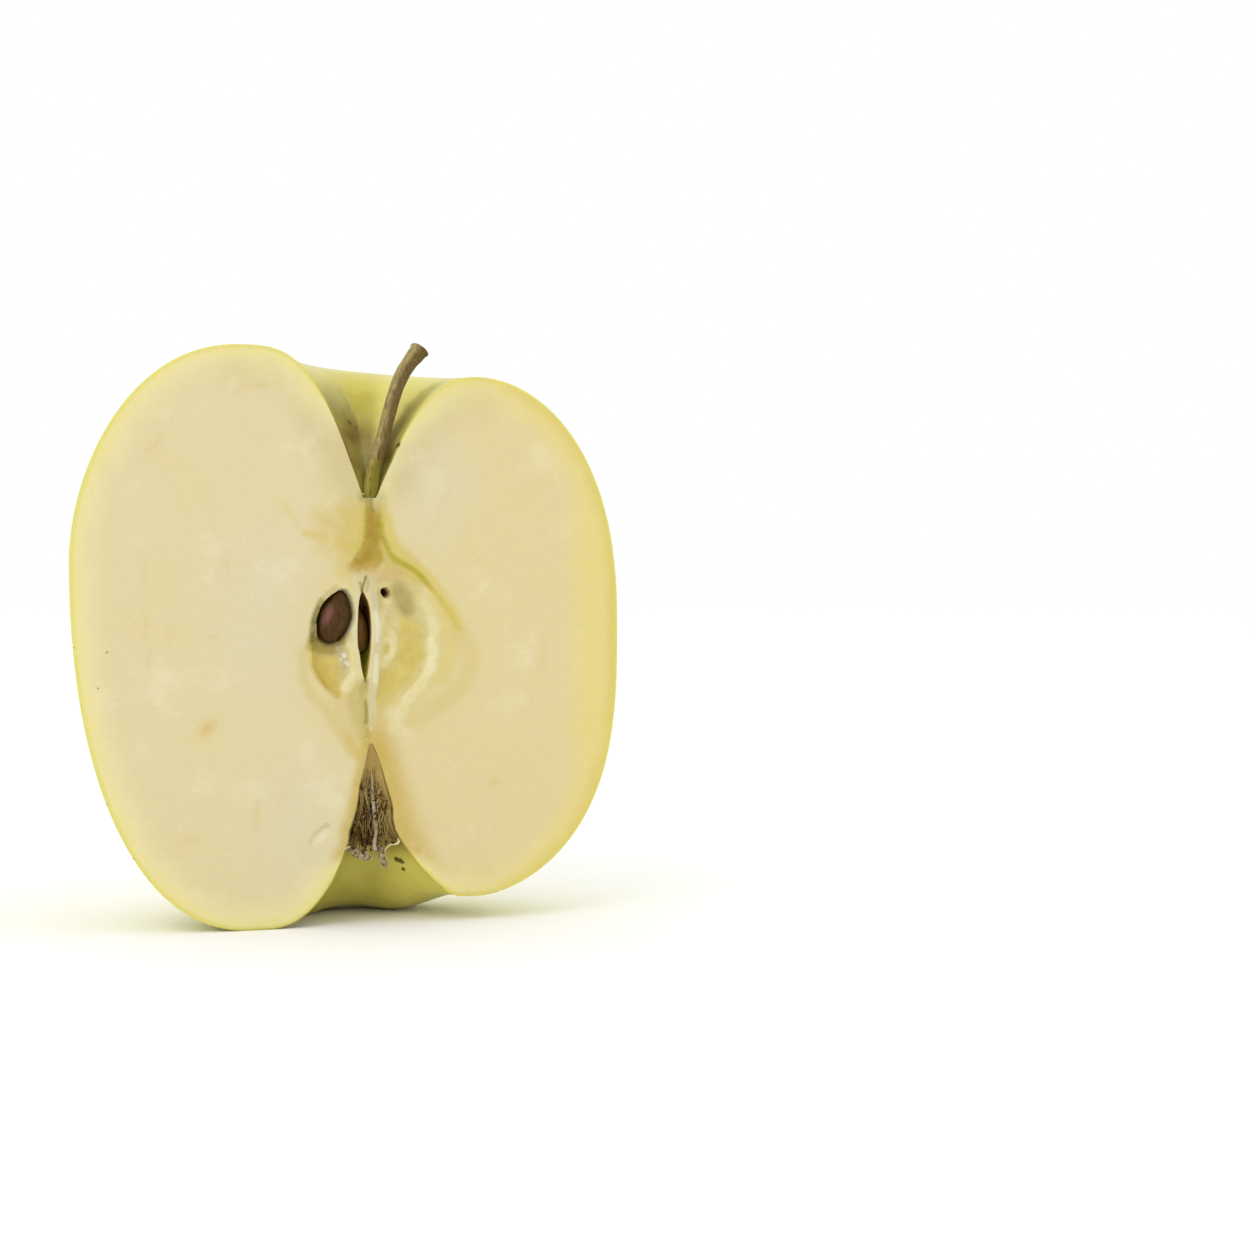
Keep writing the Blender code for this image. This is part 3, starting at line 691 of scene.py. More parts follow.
peelColours = {
    "peel": (224, 215, 104),
    "green": (204, 204, 88),
    "blush": (226, 180, 98),
    # painted shade on the stem pit's left wall
    "pitLeftShade": (126, 116, 28),
    "pitBrown": (104, 74, 16),
    "pitRim": (216, 208, 104),
    "pitStrip": (222, 212, 112),
    "creases": (  # height, and the azimuths of the sharp fold left of the stem and the soft one right of it
        (58.0, 112.0, 22.0), (62.0, 101.0, 20.0), (65.5, 89.0, 34.0), (68.7, 88.0, 28.0),
        (70.6, 95.0, 27.0), (73.3, 98.0, 18.0), (76.0, 101.0, 12.0),
    ),
    # painted shade in the fold, and deeper painted shade low in the pit
    "creaseShade": (116, 102, 12),
    "deepCreaseShade": (60, 44, 8),
    "pitRungs": (  # height in the stem pit, and the wall's colour there
        (58.0, (60, 44, 8)), (60.5, (84, 68, 12)), (62.5, (106, 90, 18)), (66.0, (142, 120, 40)),
        (70.3, (178, 164, 50)), (73.0, (198, 186, 66)), (74.6, (207, 195, 88)), (76.5, (215, 204, 108)),
    ),
    # the basin: greener skin, darkened as painted shade of the underside
    "basin": (190, 180, 74),
    "basinRight": (220, 207, 92),
    "basinLeft": (160, 152, 54),
    "tubeRungs": (  # height in the calyx tube
        (8.5, (156, 144, 50)), (10.5, (112, 92, 36)), (12.5, (88, 66, 22)), (16.0, (96, 70, 24)),
        (18.5, (128, 102, 44)), (21.5, (166, 142, 66)), (23.5, (206, 178, 96)), (25.0, (216, 190, 112)),
    ),
    # painted shade in the dark hollow low on the tube's left
    "tubeHollowShade": (80, 72, 18),
}


def rungColour(levels, rungs):
    heights = [height for height, colour in rungs]
    linear = np.array([paintColour(*colour)[:3] for height, colour in rungs])
    return np.column_stack([np.interp(levels, heights, linear[:, axis]) for axis in range(3)])


def peelTint(places):
    x, y, z = places[:, 0], places[:, 1], places[:, 2]
    radius, azimuth = np.hypot(x, y), np.degrees(np.arctan2(y, x))
    coarse, fine = ripple(places, 15.0, 41), ripple(places, 2.0, 45)

    def coated(tint, *coats):
        for name, share in coats:
            tint = laid(tint, peelColours[name], share)
        return tint

    def below(value, low, high):
        return 1 - easeStep(value, low, high)

    tint = np.tile(np.array(paintColour(*peelColours["peel"])[:3]), (len(places), 1))
    blush = below(np.hypot(azimuth - 128.0, (z - 32.0) * 1.4), 6.0, 44.0)
    tint = coated(
        tint, ("green", 0.45 + 0.5 * coarse), ("blush", 0.4 * blush * (0.8 + 0.5 * ripple(places, 4.5, 43)))
    )
    # the stem pit
    inPit = below(radius, 14.5, 20.0) * (z > 50)
    wall = rungColour(z + 1.1 * fine, peelColours["pitRungs"])
    tint = tint * (1 - inPit[:, None]) + wall * inPit[:, None]
    levels, *ways = np.array(peelColours["creases"]).T
    wayLeft, wayRight = [np.interp(z, levels, way) for way in ways]
    turned = azimuth + 3.0 * fine
    beyond = easeStep(turned - wayLeft, -1.5, 4.0)
    litLeft = 1 - 0.45 * easeStep(azimuth, 130.0, 170.0)
    strip = easeStep(turned - wayRight, 4.0, 11.0) * below(turned, 60.0, 76.0)
    fold = np.exp(-(((turned - wayRight) / 6.0) ** 2))
    tint = coated(
        tint,
        # painted shade on the pit's left wall beyond the sharp fold, lighter where that wall is lit
        ("pitLeftShade", 0.85 * inPit * beyond * below(z, 69.0, 75.0) * litLeft),
        ("pitBrown", 0.85 * inPit * beyond * below(z, 65.5, 69.0) * easeStep(z, 60.5, 62.0)),
        ("pitStrip", 0.85 * inPit * strip * easeStep(z, 62.5, 66.0)),
        ("pitRim", 0.8 * inPit * below(turned - wayRight, -16.0, -5.0) * easeStep(z, 62.0, 67.0)),
        # painted shade along the soft fold right of the stem, darkest low in the pit
        ("creaseShade", 0.8 * inPit * fold * below(z, 67.5, 74.0)),
        ("deepCreaseShade", 0.8 * inPit * fold * below(z, 61.5, 66.0)),
    )
    # the calyx basin, greener skin with painted shade of the underside, and its tube
    low = z < 30
    inBasin = below(radius, 9.0, 22.0) * low
    tint = coated(
        tint,
        ("basin", inBasin),
        ("basinRight", 0.9 * inBasin * below(azimuth, 20.0, 75.0)),
        ("basinLeft", 0.9 * inBasin * easeStep(azimuth, 105.0, 160.0)),
    )
    inTube = below(radius, 3.6, 6.4) * low * easeStep(z, 7.5, 10.0)
    wall = rungColour(z + 1.2 * ripple(places, 1.1, 47), peelColours["tubeRungs"])
    tint = tint * (1 - inTube[:, None]) + wall * inTube[:, None]
    # painted shade low on the tube's left, where it is hollow
    return coated(tint, ("tubeHollowShade", 0.8 * inTube * easeStep(azimuth, 105.0, 150.0) * below(z, 13.5, 16.0)))


def gridSpots(low, high, step, source):
    spots = []
    rowStep = step * math.sqrt(0.75)
    for row in range(int((high[1] - low[1]) / rowStep) + 1):
        shift = step / 2 if row % 2 else 0.0
        for column in range(int((high[0] - low[0]) / step) + 1):
            jitter = [source.uniform(-0.14, 0.14) * step for axis in (0, 1)]
            spots.append((low[0] + column * step + shift + jitter[0], low[1] + row * rowStep + jitter[1]))
    return np.array(spots)


def inBox(spots, box):
    (left, bottom), (right, top) = box
    return (spots[:, 0] > left) & (spots[:, 0] < right) & (spots[:, 1] > bottom) & (spots[:, 1] < top)


mesh = {
    "finest": {"box": ((-9.2, 28.0), (10.4, 49.0)), "step": 0.17},
    "fine": {"box": ((-11.0, 8.0), (14.8, 59.5)), "step": 0.36},
    "coarse": {"box": ((-42.0, 0.0), (38.0, 79.0)), "step": 0.6},
}

rightSide = outlineAt(0.0)[:-1]
leftSide = outlineAt(math.pi)[:-1]
rightIn = drawnIn(rightSide)
leftIn = [(-x, z) for x, z in drawnIn(leftSide)]
pitSpot, tubeSpot = (0.0, fruit["pitFloorZ"]), (0.0, fruit["tubeZ"])
basinCount, pitCount = fruit["basinSteps"], fruit["pitSteps"]
pitEdgeLine = list(reversed(leftIn[:pitCount])) + [pitSpot] + rightIn[:pitCount]
calyxEdgeLine = rightIn[-basinCount:] + [tubeSpot] + list(reversed(leftIn[-basinCount:]))

calyxShift = {  # height on the cut, and how far to the right of the turned form's edge its own edge lies
    "right": (
        (3.3, 0.0), (3.6, 0.9), (4.7, 1.7), (6.4, 1.45), (8.0, 1.0), (9.5, 0.65), (11.3, -0.1), (12.7, -0.35),
        (13.9, -0.3), (16.2, 0.45), (17.5, 0.38), (19.2, 0.4), (21.7, 0.45), (24.0, 0.2), (25.3, 0.0),
    ),
    "left": (
        (0.25, 0.0), (2.0, 0.1), (4.5, 0.4), (6.6, 0.65), (7.4, 0.6), (9.0, 0.7), (10.5, 0.65), (11.4, 0.7),
        (13.1, 0.3), (13.8, 0.35), (15.0, 0.5), (15.8, 0.45), (17.5, 0.3), (18.9, 0.05), (21.4, 0.13),
        (25.3, 0.0),
    ),
    "reach": 4.0,
}


def byTheCalyx(places):  # the same places, with the edge of the calyx tube as uneven as the knife left it
    moved = np.array(places, float)
    x, y, z = moved[:, 0].copy(), moved[:, 1], moved[:, 2]
    for side, line, sign in (("right", rightSide, 1), ("left", leftSide, -1)):
        radii, heights = np.array(line[-basinCount:]).T
        edge = np.interp(z, heights, radii)
        shift = np.interp(z, *np.array(calyxShift[side]).T, 0.0, 0.0)
        shift *= 1 - easeStep(sign * x - edge, 0.0, calyxShift["reach"])
        shift *= np.clip(sign * x / np.maximum(edge, 0.3), 0.0, 1.0)
        moved[:, 0] += shift * (1 - easeStep(y / (2.5 + 0.35 * edge), 0.0, 1.0))  # the cut's edge alone
    return moved


def cutFace():  # the cut face's spots and triangles, and which spots are its edge and the slit's
    source = random.Random(5)
    edge = [pitSpot, *rightIn, tubeSpot, *reversed(leftIn)]
    slit = list(core["slit"])
    rims = [eggRim(core[name], count) for name, count in (("seedPocket", 110), ("pinHole", 26))]
    spots = [np.array(edge), np.array(slit), *rims]
    lines = []
    start = 0
    for loop in spots:
        lines += [(start + step, start + (step + 1) % len(loop)) for step in range(len(loop))]
        start += len(loop)
    fixed = np.vstack(spots)
    inner = []
    for name, sizes in mesh.items():
        grid = gridSpots(sizes["box"][0], sizes["box"][1], sizes["step"], source)
        keep = within(grid, edge) & ~within(grid, slit)
        if name != "finest":
            keep &= ~inBox(grid, mesh["finest"]["box"])
        if name == "coarse":
            keep &= ~inBox(grid, mesh["fine"]["box"])
        grid = grid[keep]
        nearest = np.full(len(grid), 1e9)
        for spot in fixed:
            nearest = np.minimum(nearest, np.hypot(grid[:, 0] - spot[0], grid[:, 1] - spot[1]))
        clear = (nearest > 0.5 * sizes["step"]) & (gapToLine(grid, edge, True) > 0.3 * sizes["step"])
        inner.append(grid[clear])
    everything = [Vector(spot) for spot in np.vstack([fixed, *inner])]
    made = geometry.delaunay_2d_cdt(everything, lines, [], 0, 1e-5, True)
    places = np.array([tuple(spot) for spot in made[0]])
    triangles = np.array([tuple(face) for face in made[2]])
    middles = places[triangles].mean(axis=1)
    triangles = triangles[within(middles, edge) & ~within(middles, slit)]
    whereIs = {}
    for index, sources in enumerate(made[3]):
        for origin in sources:
            if origin < len(edge) + len(slit):
                whereIs[origin] = index
    edgeAt = [whereIs[index] for index in range(len(edge))]
    slitAt = [whereIs[len(edge) + index] for index in range(len(slit))]
    return places, triangles, edgeAt, slitAt


def slitWall(slitAt, count):  # straight in, then opening into the middle locule, with painted shade on its walls that darkens with depth, and a yellow-olive wall low down
    slit = np.array(core["slit"])
    top, bottom = slit[:, 1].max(), slit[:, 1].min()
    middleZ = (top + bottom) / 2
    share = (slit[:, 1] - bottom) / (top - bottom)
    (topX, bottomX), bend = core["slitMiddle"], core["slitBend"]
    middleX = bottomX + (topX - bottomX) * share - bend * np.sin(math.pi * share)
    low = 1 - easeStep(slit[:, 1], 36.0, 39.5)
    places, tint, faces, rings = [], [], [], [list(slitAt)]
    for depth, broad, tall in core["slitRings"]:
        ringX = middleX + (slit[:, 0] - middleX) * broad
        ringZ = middleZ + (slit[:, 1] - middleZ) * tall
        places.append(np.column_stack((ringX, np.full(len(slit), depth), ringZ)))
        lip = np.tile(np.array(paintColour(*pulpColours["slitLip"])[:3]), (len(slit), 1))
        # painted shade: the wall darkens with depth
        inside = np.full(len(slit), min(1.0, depth / 0.45))
        wall = laid(lip, pulpColours["slitDeepShade"], inside)
        tint.append(laid(wall, pulpColours["slitLow"], inside * low))
        rings.append(list(range(count, count + len(slit))))
        count += len(slit)
    for ring, following in zip(rings, rings[1:]):
        for step in range(len(slit)):
            beside = (step + 1) % len(slit)
            faces.append((ring[step], ring[beside], following[beside], following[step]))
    places.append(np.array([(-0.75, core["slitEnd"], middleZ)]))
    tint.append(np.array([paintColour(*pulpColours["slitDeepShade"])[:3]]))
    for step in range(len(slit)):
        faces.append((rings[-1][step], rings[-1][(step + 1) % len(slit)], count))
    return np.vstack(places), np.vstack(tint), faces


def skinWall(edgeAt, count):  # from the pit round the girth to the calyx tube
    places, faces, rows = [], [], []
    steps, tall = fruit["aroundSteps"], len(rightSide)
    for step in range(steps + 1):
        azimuth = math.pi * step / steps
        for radius, height in outlineAt(azimuth)[:-1]:
            back = radius * math.sin(azimuth)
            if step in (0, steps):  # the rounded rim beside the cut
                back = min(fruit["rimRound"], 0.5 * radius * math.sin(math.pi / steps))
            places.append((radius * math.cos(azimuth), back, height))
        rows.append(list(range(count + step * tall, count + (step + 1) * tall)))
    pit, tube = edgeAt[0], edgeAt[tall + 1]
    bands = [edgeAt[1 : tall + 1], *rows, list(reversed(edgeAt[tall + 2 :]))]
    for row, beside in zip(bands, bands[1:]):
        faces.append((pit, row[0], beside[0]))
        faces.append((tube, beside[-1], row[-1]))
        for low in range(tall - 1):
            faces.append((row[low], row[low + 1], beside[low + 1], beside[low]))
    return np.array(places), faces


def bandGap(spots, rimGap):  # how far off the skin is, and more by the pit and the calyx: no band there
    x, z = spots[:, 0], spots[:, 1]
    byPit = (1 - easeStep(np.abs(x), 5.0, 14.0)) * (z > 50) * (1 - easeStep(z, 62.0, 72.0))
    byPit *= np.where(x > 0.5, 0.3, 1.0)
    byCalyx = (1 - easeStep(np.abs(x), 5.0, 13.0)) * (z < 32) * easeStep(z, 7.0, 12.0)
    return rimGap + 7.0 * (byPit + byCalyx)


def appleHalf():
    spots, triangles, edgeAt, slitAt = cutFace()
    print("cut face", len(spots), "spots", len(triangles), "triangles")
    rimGap = gapToLine(spots, [tuple(spots[index]) for index in edgeAt], True)
    slow = ripple(across(spots), 14.0, 51) + 0.5 * ripple(across(spots), 4.0, 52)
    deep = carve(spots) * easeStep(rimGap, 0.0, 0.5)
    deep += carving["sweep"] * (slow + 1.5) * easeStep(rimGap, 0.3, 3.0)
    cut = np.column_stack((spots[:, 0], deep, spots[:, 1]))
    slitPlaces, slitTint, slitFaces = slitWall(slitAt, len(cut))
    skin, skinFaces = skinWall(edgeAt, len(cut) + len(slitPlaces))
    faces = [tuple(face) for face in triangles] + slitFaces + skinFaces
    places = np.vstack([cut, slitPlaces, skin])
    pulpAll = np.vstack([pulpTint(spots), slitTint, np.zeros(skin.shape)])
    peelAll = peelTint(places)
    radius, height = np.hypot(places[:, 0], places[:, 1]), places[:, 2]
    openSkin = easeStep(radius, 13.0, 20.0) * np.where(height > 45, 1.0, easeStep(height, 0.5, 2.0))
    gaps = np.full(len(places), 40.0)
    gaps[: len(spots)] = bandGap(spots, rimGap)

    half = pieceFrom("apple_half", byTheCalyx(places), faces)
    form = half.data
    form.materials.append(pulpMaterial())
    form.materials.append(peelMaterial())
    kinds = np.zeros(len(faces), int)
    kinds[-len(skinFaces) :] = 1
    form.polygons.foreach_set("material_index", kinds)
    corners = np.empty(len(form.loops), int)
    form.loops.foreach_get("vertex_index", corners)
    sides = np.empty(len(faces), int)
    form.polygons.foreach_get("loop_total", sides)
    isSkin = np.repeat(kinds, sides)[:, None] == 1
    storeColour(form, "tint", np.where(isSkin, peelAll[corners], pulpAll[corners]), "CORNER")
    storeValue(form, "rimGap", gaps)
    storeValue(form, "openSkin", openSkin)
    fixNormals(half, 40.0)
    return half


def pieceFrom(name, places, faces):  # places in millimetres about the core
    flat = bpy.data.meshes.new(name)
    moved = (np.asarray(places, float) + corePlace) * millimetre
    flat.from_pydata([tuple(place) for place in moved], [], [tuple(int(i) for i in face) for face in faces])
    made = bpy.data.objects.new(name, flat)
    bpy.context.scene.collection.objects.link(made)
    return made


def storeColour(flat, name, colours, domain="POINT"):
    layer = flat.color_attributes.new(name, "FLOAT_COLOR", domain)
    full = np.column_stack((colours, np.ones(len(colours))))
    layer.data.foreach_set("color", full.astype(np.float32).ravel())


def storeValue(flat, name, values):
    layer = flat.attributes.new(name, "FLOAT", "POINT")
    layer.data.foreach_set("value", np.asarray(values, np.float32))


def fixNormals(piece, sharpAngle):
    shape = bmesh.new()
    shape.from_mesh(piece.data)
    bmesh.ops.recalc_face_normals(shape, faces=shape.faces)
    shape.to_mesh(piece.data)
    shape.free()
    piece.data.shade_smooth()
    if sharpAngle:
        piece.data.set_sharp_from_angle(angle=math.radians(sharpAngle))


pulp = {
    "roughness": 0.42,
    "specular": 0.35,
    "relief": 0.00008,
    "sockets": {"Subsurface Weight": 0.35, "Subsurface Radius": (1.0, 0.7, 0.35), "Subsurface Scale": 0.0022},
    "cellSize": 0.42,
    "bandWidth": 5.5,  # the paler band along the skin, at the left and at the right
    "bandColours": ((230, 222, 162), (224, 208, 124)),
    "nearWidth": 2.2,
    "nearColours": ((224, 213, 134), (206, 190, 92)),
    "rimColour": (206, 196, 100),
    "specks": ((-35.58, 37.53, 0.17), (-36.78, 32.83, 0.14), (3.95, 65.1, 0.22), (4.25, 64.95, 0.14)),
    "speckColour": (128, 100, 44),
}
peel = {
    "roughness": 0.38,
    "specular": 0.3,
    "relief": 0.00006,
    "sockets": {
        "Subsurface Weight": 0.12, "Subsurface Radius": (1.0, 0.8, 0.3), "Subsurface Scale": 0.0015,
        "Coat Weight": 0.16, "Coat Roughness": 0.24,
    },
    "dotSpacing": 2.7,
    "dotColour": (160, 142, 66),
    "haloColour": (230, 226, 134),
    "marks": (  # small dark spots in the stem pit and by the calyx, and how large
        ((-1.33, 5.34, 68.09), 0.44), ((-0.19, 5.43, 67.66), 0.36), ((3.06, 8.4, 71.82), 0.24),
        ((4.0, 0.28, 65.01), 0.5), ((3.82, 0.81, 64.78), 0.4), ((2.48, 2.4, 63.72), 0.4),
        ((4.74, 3.7, 8.38), 0.5), ((5.16, 3.22, 8.09), 0.5), ((5.66, 3.82, 6.96), 0.34),
        ((3.25, 7.3, 6.02), 0.22),
    ),
    "markColour": (78, 72, 14),
}


def pulpMaterial():
    recipe = Recipe("pulp")
    places = recipe.places()
    gap = recipe.painted("rimGap")
    slow = recipe.cloud(places, 8.0, 4.0, 0.6)
    fine = recipe.cloud(places, 0.6, 3.0, 0.6)
    grain = recipe.cloud(places, 0.16, 2.0, 0.5)
    mottled = recipe.layers(
        recipe.painted("tint", "Color"),
        ((222, 200, 132), slow, 0.5, 0.75, 0.0, 0.16),
        ((238, 230, 200), slow, 0.25, 0.46, 0.3, 0.0),
        ((212, 192, 130), fine, 0.5, 0.75, 0.0, 0.12),
    )
    wobble = gap + (recipe.cloud(places, 4.0, 2.0) - 0.5) * 2.2
    toRight = recipe.rise(recipe.node("ShaderNodeSeparateXYZ", None, {0: places}), 8.0, 30.0)
    height = recipe.node("ShaderNodeSeparateXYZ", None, {0: places}, "Z")
    halfway = recipe.rise(height, 18.0, 28.0) * recipe.rise(height, 50.0, 60.0, 1.0, 0.0)
    banded = recipe.layers(
        mottled,
        (
            recipe.blend(toRight, *pulp["bandColours"]),
            wobble - toRight * (0.6 + halfway * 2.6), 0.0, pulp["bandWidth"], 0.75, 0.0,
        ),
        (recipe.blend(toRight, *pulp["nearColours"]), wobble, 0.0, pulp["nearWidth"], 0.6, 0.0),
        (pulp["rimColour"], gap, 0.02, 0.6, 0.5, 0.0),
    )
    for right, up, size in pulp["specks"]:
        off = recipe.gapTo(places, (right, 0.06, up))
        banded = recipe.layers(banded, (pulp["speckColour"], off, 0.4 * size, 1.4 * size, 0.75, 0.0))
    cells = recipe.cells(places, pulp["cellSize"])
    bump = recipe.relief(cells * 0.6 + grain * 0.5 + fine * 0.8, pulp["relief"])
    rough = pulp["roughness"] + (fine - 0.5) * 0.3
    return recipe.finish(banded, rough, pulp["specular"], bump, pulp["sockets"])


def peelMaterial():
    recipe = Recipe("peel")
    places = recipe.places()
    slow = recipe.cloud(places, 9.0, 3.0, 0.55)
    fine = recipe.cloud(places, 0.9, 3.0, 0.6)
    dots = recipe.cells(places, peel["dotSpacing"])
    drawn = recipe.cells(places, peel["dotSpacing"], "Color")
    chance = recipe.node("ShaderNodeSeparateColor", None, {0: drawn})
    openSkin = recipe.painted("openSkin")
    halo = recipe.rise(dots, 0.1, 0.3, 0.3, 0.0) * openSkin
    ring = recipe.rise(dots - (0.035 + chance * 0.06), 0.0, 0.04, 0.8, 0.0) * openSkin
    dotted = recipe.layers(
        recipe.painted("tint", "Color"),
        ((232, 222, 128), slow, 0.45, 0.7, 0.0, 0.25),
        ((176, 182, 70), fine, 0.45, 0.75, 0.0, 0.14),
    )
    dotted = recipe.blend(halo, dotted, peel["haloColour"])
    dotted = recipe.blend(ring, dotted, peel["dotColour"])
    noisy = recipe.node("ShaderNodeTexNoise", None, {"Vector": places, "Scale": 2.4}, "Color")
    ragged = recipe.node("ShaderNodeVectorMath", {"operation": "SCALE"}, {0: noisy, "Scale": 0.5})
    ragged = recipe.vector("ADD", places, ragged)
    for place, reach in peel["marks"]:
        off = recipe.gapTo(ragged, np.array(place) + 0.25)
        dotted = recipe.layers(dotted, (peel["markColour"], off, 0.6 * reach, 1.2 * reach, 0.97, 0.0))
    bump = recipe.relief(ring * 0.5 + fine * 0.5, peel["relief"])
    rough = peel["roughness"] + (fine - 0.5) * 0.16
    return recipe.finish(dotted, rough, peel["specular"], bump, peel["sockets"])


half = appleHalf()
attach(half, "root")
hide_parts("apple_body")
print("apple half", len(half.data.polygons), "faces")


def smoothPath(points, radii, steps):  # a curve through the points, as places and radii
    places = [Vector(point) for point in points]
    last = len(places) - 1
    path = []
    for step in range(steps + 1):
        where = last * step / steps
        index = min(int(where), last - 1)
        share = where - index
        before, after = places[max(index - 1, 0)], places[min(index + 2, last)]
        start, end = places[index], places[index + 1]
        spot = start * (2 * share**3 - 3 * share**2 + 1) + end * (3 * share**2 - 2 * share**3)
        spot += (end - before) / 2 * (share**3 - 2 * share**2 + share)
        spot += (after - start) / 2 * (share**3 - share**2)
        path.append((spot, radii[index] + (radii[index + 1] - radii[index]) * share))
    return path


class Shape:  # gathers tubes into one mesh, with a value for how far along, which way round, and a tone
    def __init__(self):
        self.places, self.faces = [], []
        self.along, self.around, self.shade = [], [], []

    def tube(self, path, sides, deep=1.0, rough=None, shade=0.5, dome=0.0):
        rings = []
        last = len(path) - 1
        for index, (spot, radius) in enumerate(path):
            forward = (path[min(index + 1, last)][0] - path[max(index - 1, 0)][0]).normalized()
            side = Vector((0.0, 1.0, 0.0)).cross(forward).normalized()
            front = forward.cross(side).normalized()
            rings.append(list(range(len(self.places), len(self.places) + sides)))
            for step in range(sides):
                turn = 2 * math.pi * step / sides
                reach = side * math.cos(turn) + front * math.sin(turn) * deep
                swell = rough(turn, index / last) if rough else 1.0
                self.add(spot + reach * radius * swell, index / last, turn, shade)
        for ring, following in zip(rings, rings[1:]):
            for step in range(sides):
                beside = (step + 1) % sides
                self.faces.append((ring[step], ring[beside], following[beside], following[step]))
        for ring, end, neighbour, along in ((rings[0], 0, 1, 0.0), (rings[-1], last, last - 1, 1.0)):
            spot = path[end][0]
            tip = len(self.places)
            self.add(spot + (spot - path[neighbour][0]).normalized() * dome, along, 0.0, shade)
            for step in range(sides):
                self.faces.append((ring[step], ring[(step + 1) % sides], tip))

    def add(self, place, along, around, shade):
        self.places.append(tuple(place))
        self.along.append(along)
        self.around.append(around)
        self.shade.append(shade)

    def piece(self, name, material):
        made = pieceFrom(name, self.places, self.faces)
        for value in ("along", "around", "shade"):
            storeValue(made.data, value, getattr(self, value))
        made.data.materials.append(material)
        fixNormals(made, 0.0)
        return made


def settle(piece, slot, *nodes):
    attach(piece, "root")
    if nodes:
        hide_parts(*nodes)


stem = {
    "points": (
        (0.38, 1.20, 57.9), (0.62, 1.15, 60.0), (0.95, 1.10, 61.9), (1.50, 1.05, 63.8), (2.12, 1.00, 65.8),
        (2.72, 1.00, 68.1), (3.36, 1.10, 70.4), (4.20, 1.20, 72.9), (4.98, 1.30, 74.6), (6.10, 1.40, 76.3),
        (7.08, 1.45, 77.5), (7.72, 1.50, 78.4),
    ),
    "radii": (1.22, 1.18, 1.10, 1.02, 0.96, 0.93, 0.96, 0.99, 1.03, 1.10, 1.22, 1.44),
    "steps": 160,
    "sides": 56,
    "root": ((0.34, 2.9, 55.8, 0.6), (0.35, 2.3, 56.6, 0.85), (0.36, 1.7, 57.3, 1.08)),  # inside the flesh
    "endRound": (1.0, 0.985, 0.95, 0.88, 0.76, 0.58, 0.36, 0.14),
    "endLength": 0.7,
    "fibre": 0.07,
    "roughness": 0.66,
    "specular": 0.2,
    "relief": 0.00032,
}


def stemSwell(turn, share):  # fibres, finer ones and knots
    def lumps(wide, tall):
        return noise.noise(Vector((math.cos(turn) * wide, math.sin(turn) * wide, share * tall)))

    coarse, fine, knots = lumps(2.2, 3.0), lumps(5.5, 9.0), lumps(0.9, 14.0)
    return 1.0 + stem["fibre"] * (coarse * 0.6 + fine * 0.45 + knots * 0.5 - 0.5)


def stemMaterial():
    recipe = Recipe("stem_bark")
    places = recipe.places()
    along = recipe.painted("along")
    fibre = recipe.cloud(recipe.stretched(places, (1.0, 1.0, 0.16)), 0.34, 4.0, 0.65, 0.4)
    fine = recipe.cloud(recipe.stretched(places, (1.0, 1.0, 0.3)), 0.12, 3.0, 0.6)
    height = along + (recipe.cloud(places, 1.5, 3.0, 0.6) - 0.5) * 0.3
    upward = recipe.rise(height, 0.08, 0.36)
    lit = recipe.blend(upward, (172, 156, 66), (184, 164, 106))
    dim = recipe.blend(upward, (124, 118, 18), (106, 86, 38))
    body = recipe.layers(lit, (dim, recipe.painted("shade") + (fibre - 0.5) * 0.7, 0.22, 0.7))
    # painted sheen: a purple-grey band on the stem's upper middle
    middle = recipe.rise(height, 0.45, 0.6) * recipe.rise(height, 0.72, 0.86, 1.0, 0.0)
    body = recipe.blend(middle * recipe.rise(fibre, 0.35, 0.65, 0.0, 0.4), body, (132, 112, 88))
    body = recipe.layers(
        body,
        ((72, 52, 18), fibre, 0.5, 0.7, 0.0, 0.65),
        ((168, 150, 96), fine, 0.5, 0.72, 0.0, 0.5),
        ((84, 60, 26), along, 0.95, 1.0, 0.0, 0.7),
        ((52, 38, 14), recipe.cells(places, 1.6) - 0.06, 0.0, 0.05, 0.8, 0.0),
    )
    bump = recipe.relief(fibre + fine * 0.5, stem["relief"])
    return recipe.finish(body, stem["roughness"] + (fibre - 0.5) * 0.3, stem["specular"], bump)


def makeStem():
    path = smoothPath(stem["points"], stem["radii"], stem["steps"])
    root = [(Vector(point[:3]), point[3]) for point in stem["root"]]
    end, radius = path[-1]
    forward = (end - path[-2][0]).normalized()
    trimmed = [step for step in path if (step[0] - end).length > stem["endLength"]]
    cap = []
    for index, share in enumerate(stem["endRound"], 1):
        reach = math.sin(math.pi / 2 * index / len(stem["endRound"]))
        cap.append((end - forward * stem["endLength"] * (1 - reach), radius * share))
    shape = Shape()
    shape.tube(root + trimmed + cap, stem["sides"], rough=stemSwell)
    # 1 on the side away from the light
    shape.shade = [0.5 + 0.5 * math.cos(turn + 0.45) for turn in shape.around]
    return shape.piece("stem_bent", stemMaterial())


settle(makeStem(), "stem_bark", "stem")
print("stem done")


seeds = {
    "seed_left": {
        "at": (-4.66, 1.35, 41.86), "half": (2.33, 1.5, 3.78), "lean": 18.0, "point": 0.38,
        "coat": ("seed_coat", (60, 38, 6), (80, 54, 12)),
    },
    "seed_middle": {
        "at": (-0.55, 5.05, 40.1), "half": (1.45, 2.5, 3.7), "lean": -8.0, "point": 0.38,
        "coat": ("seed_coat_pale", (128, 92, 40), (148, 110, 56)),
    },
}
seedForm = {"around": 72, "tall": 56, "roughness": 0.34, "specular": 0.14, "relief": 0.00009}


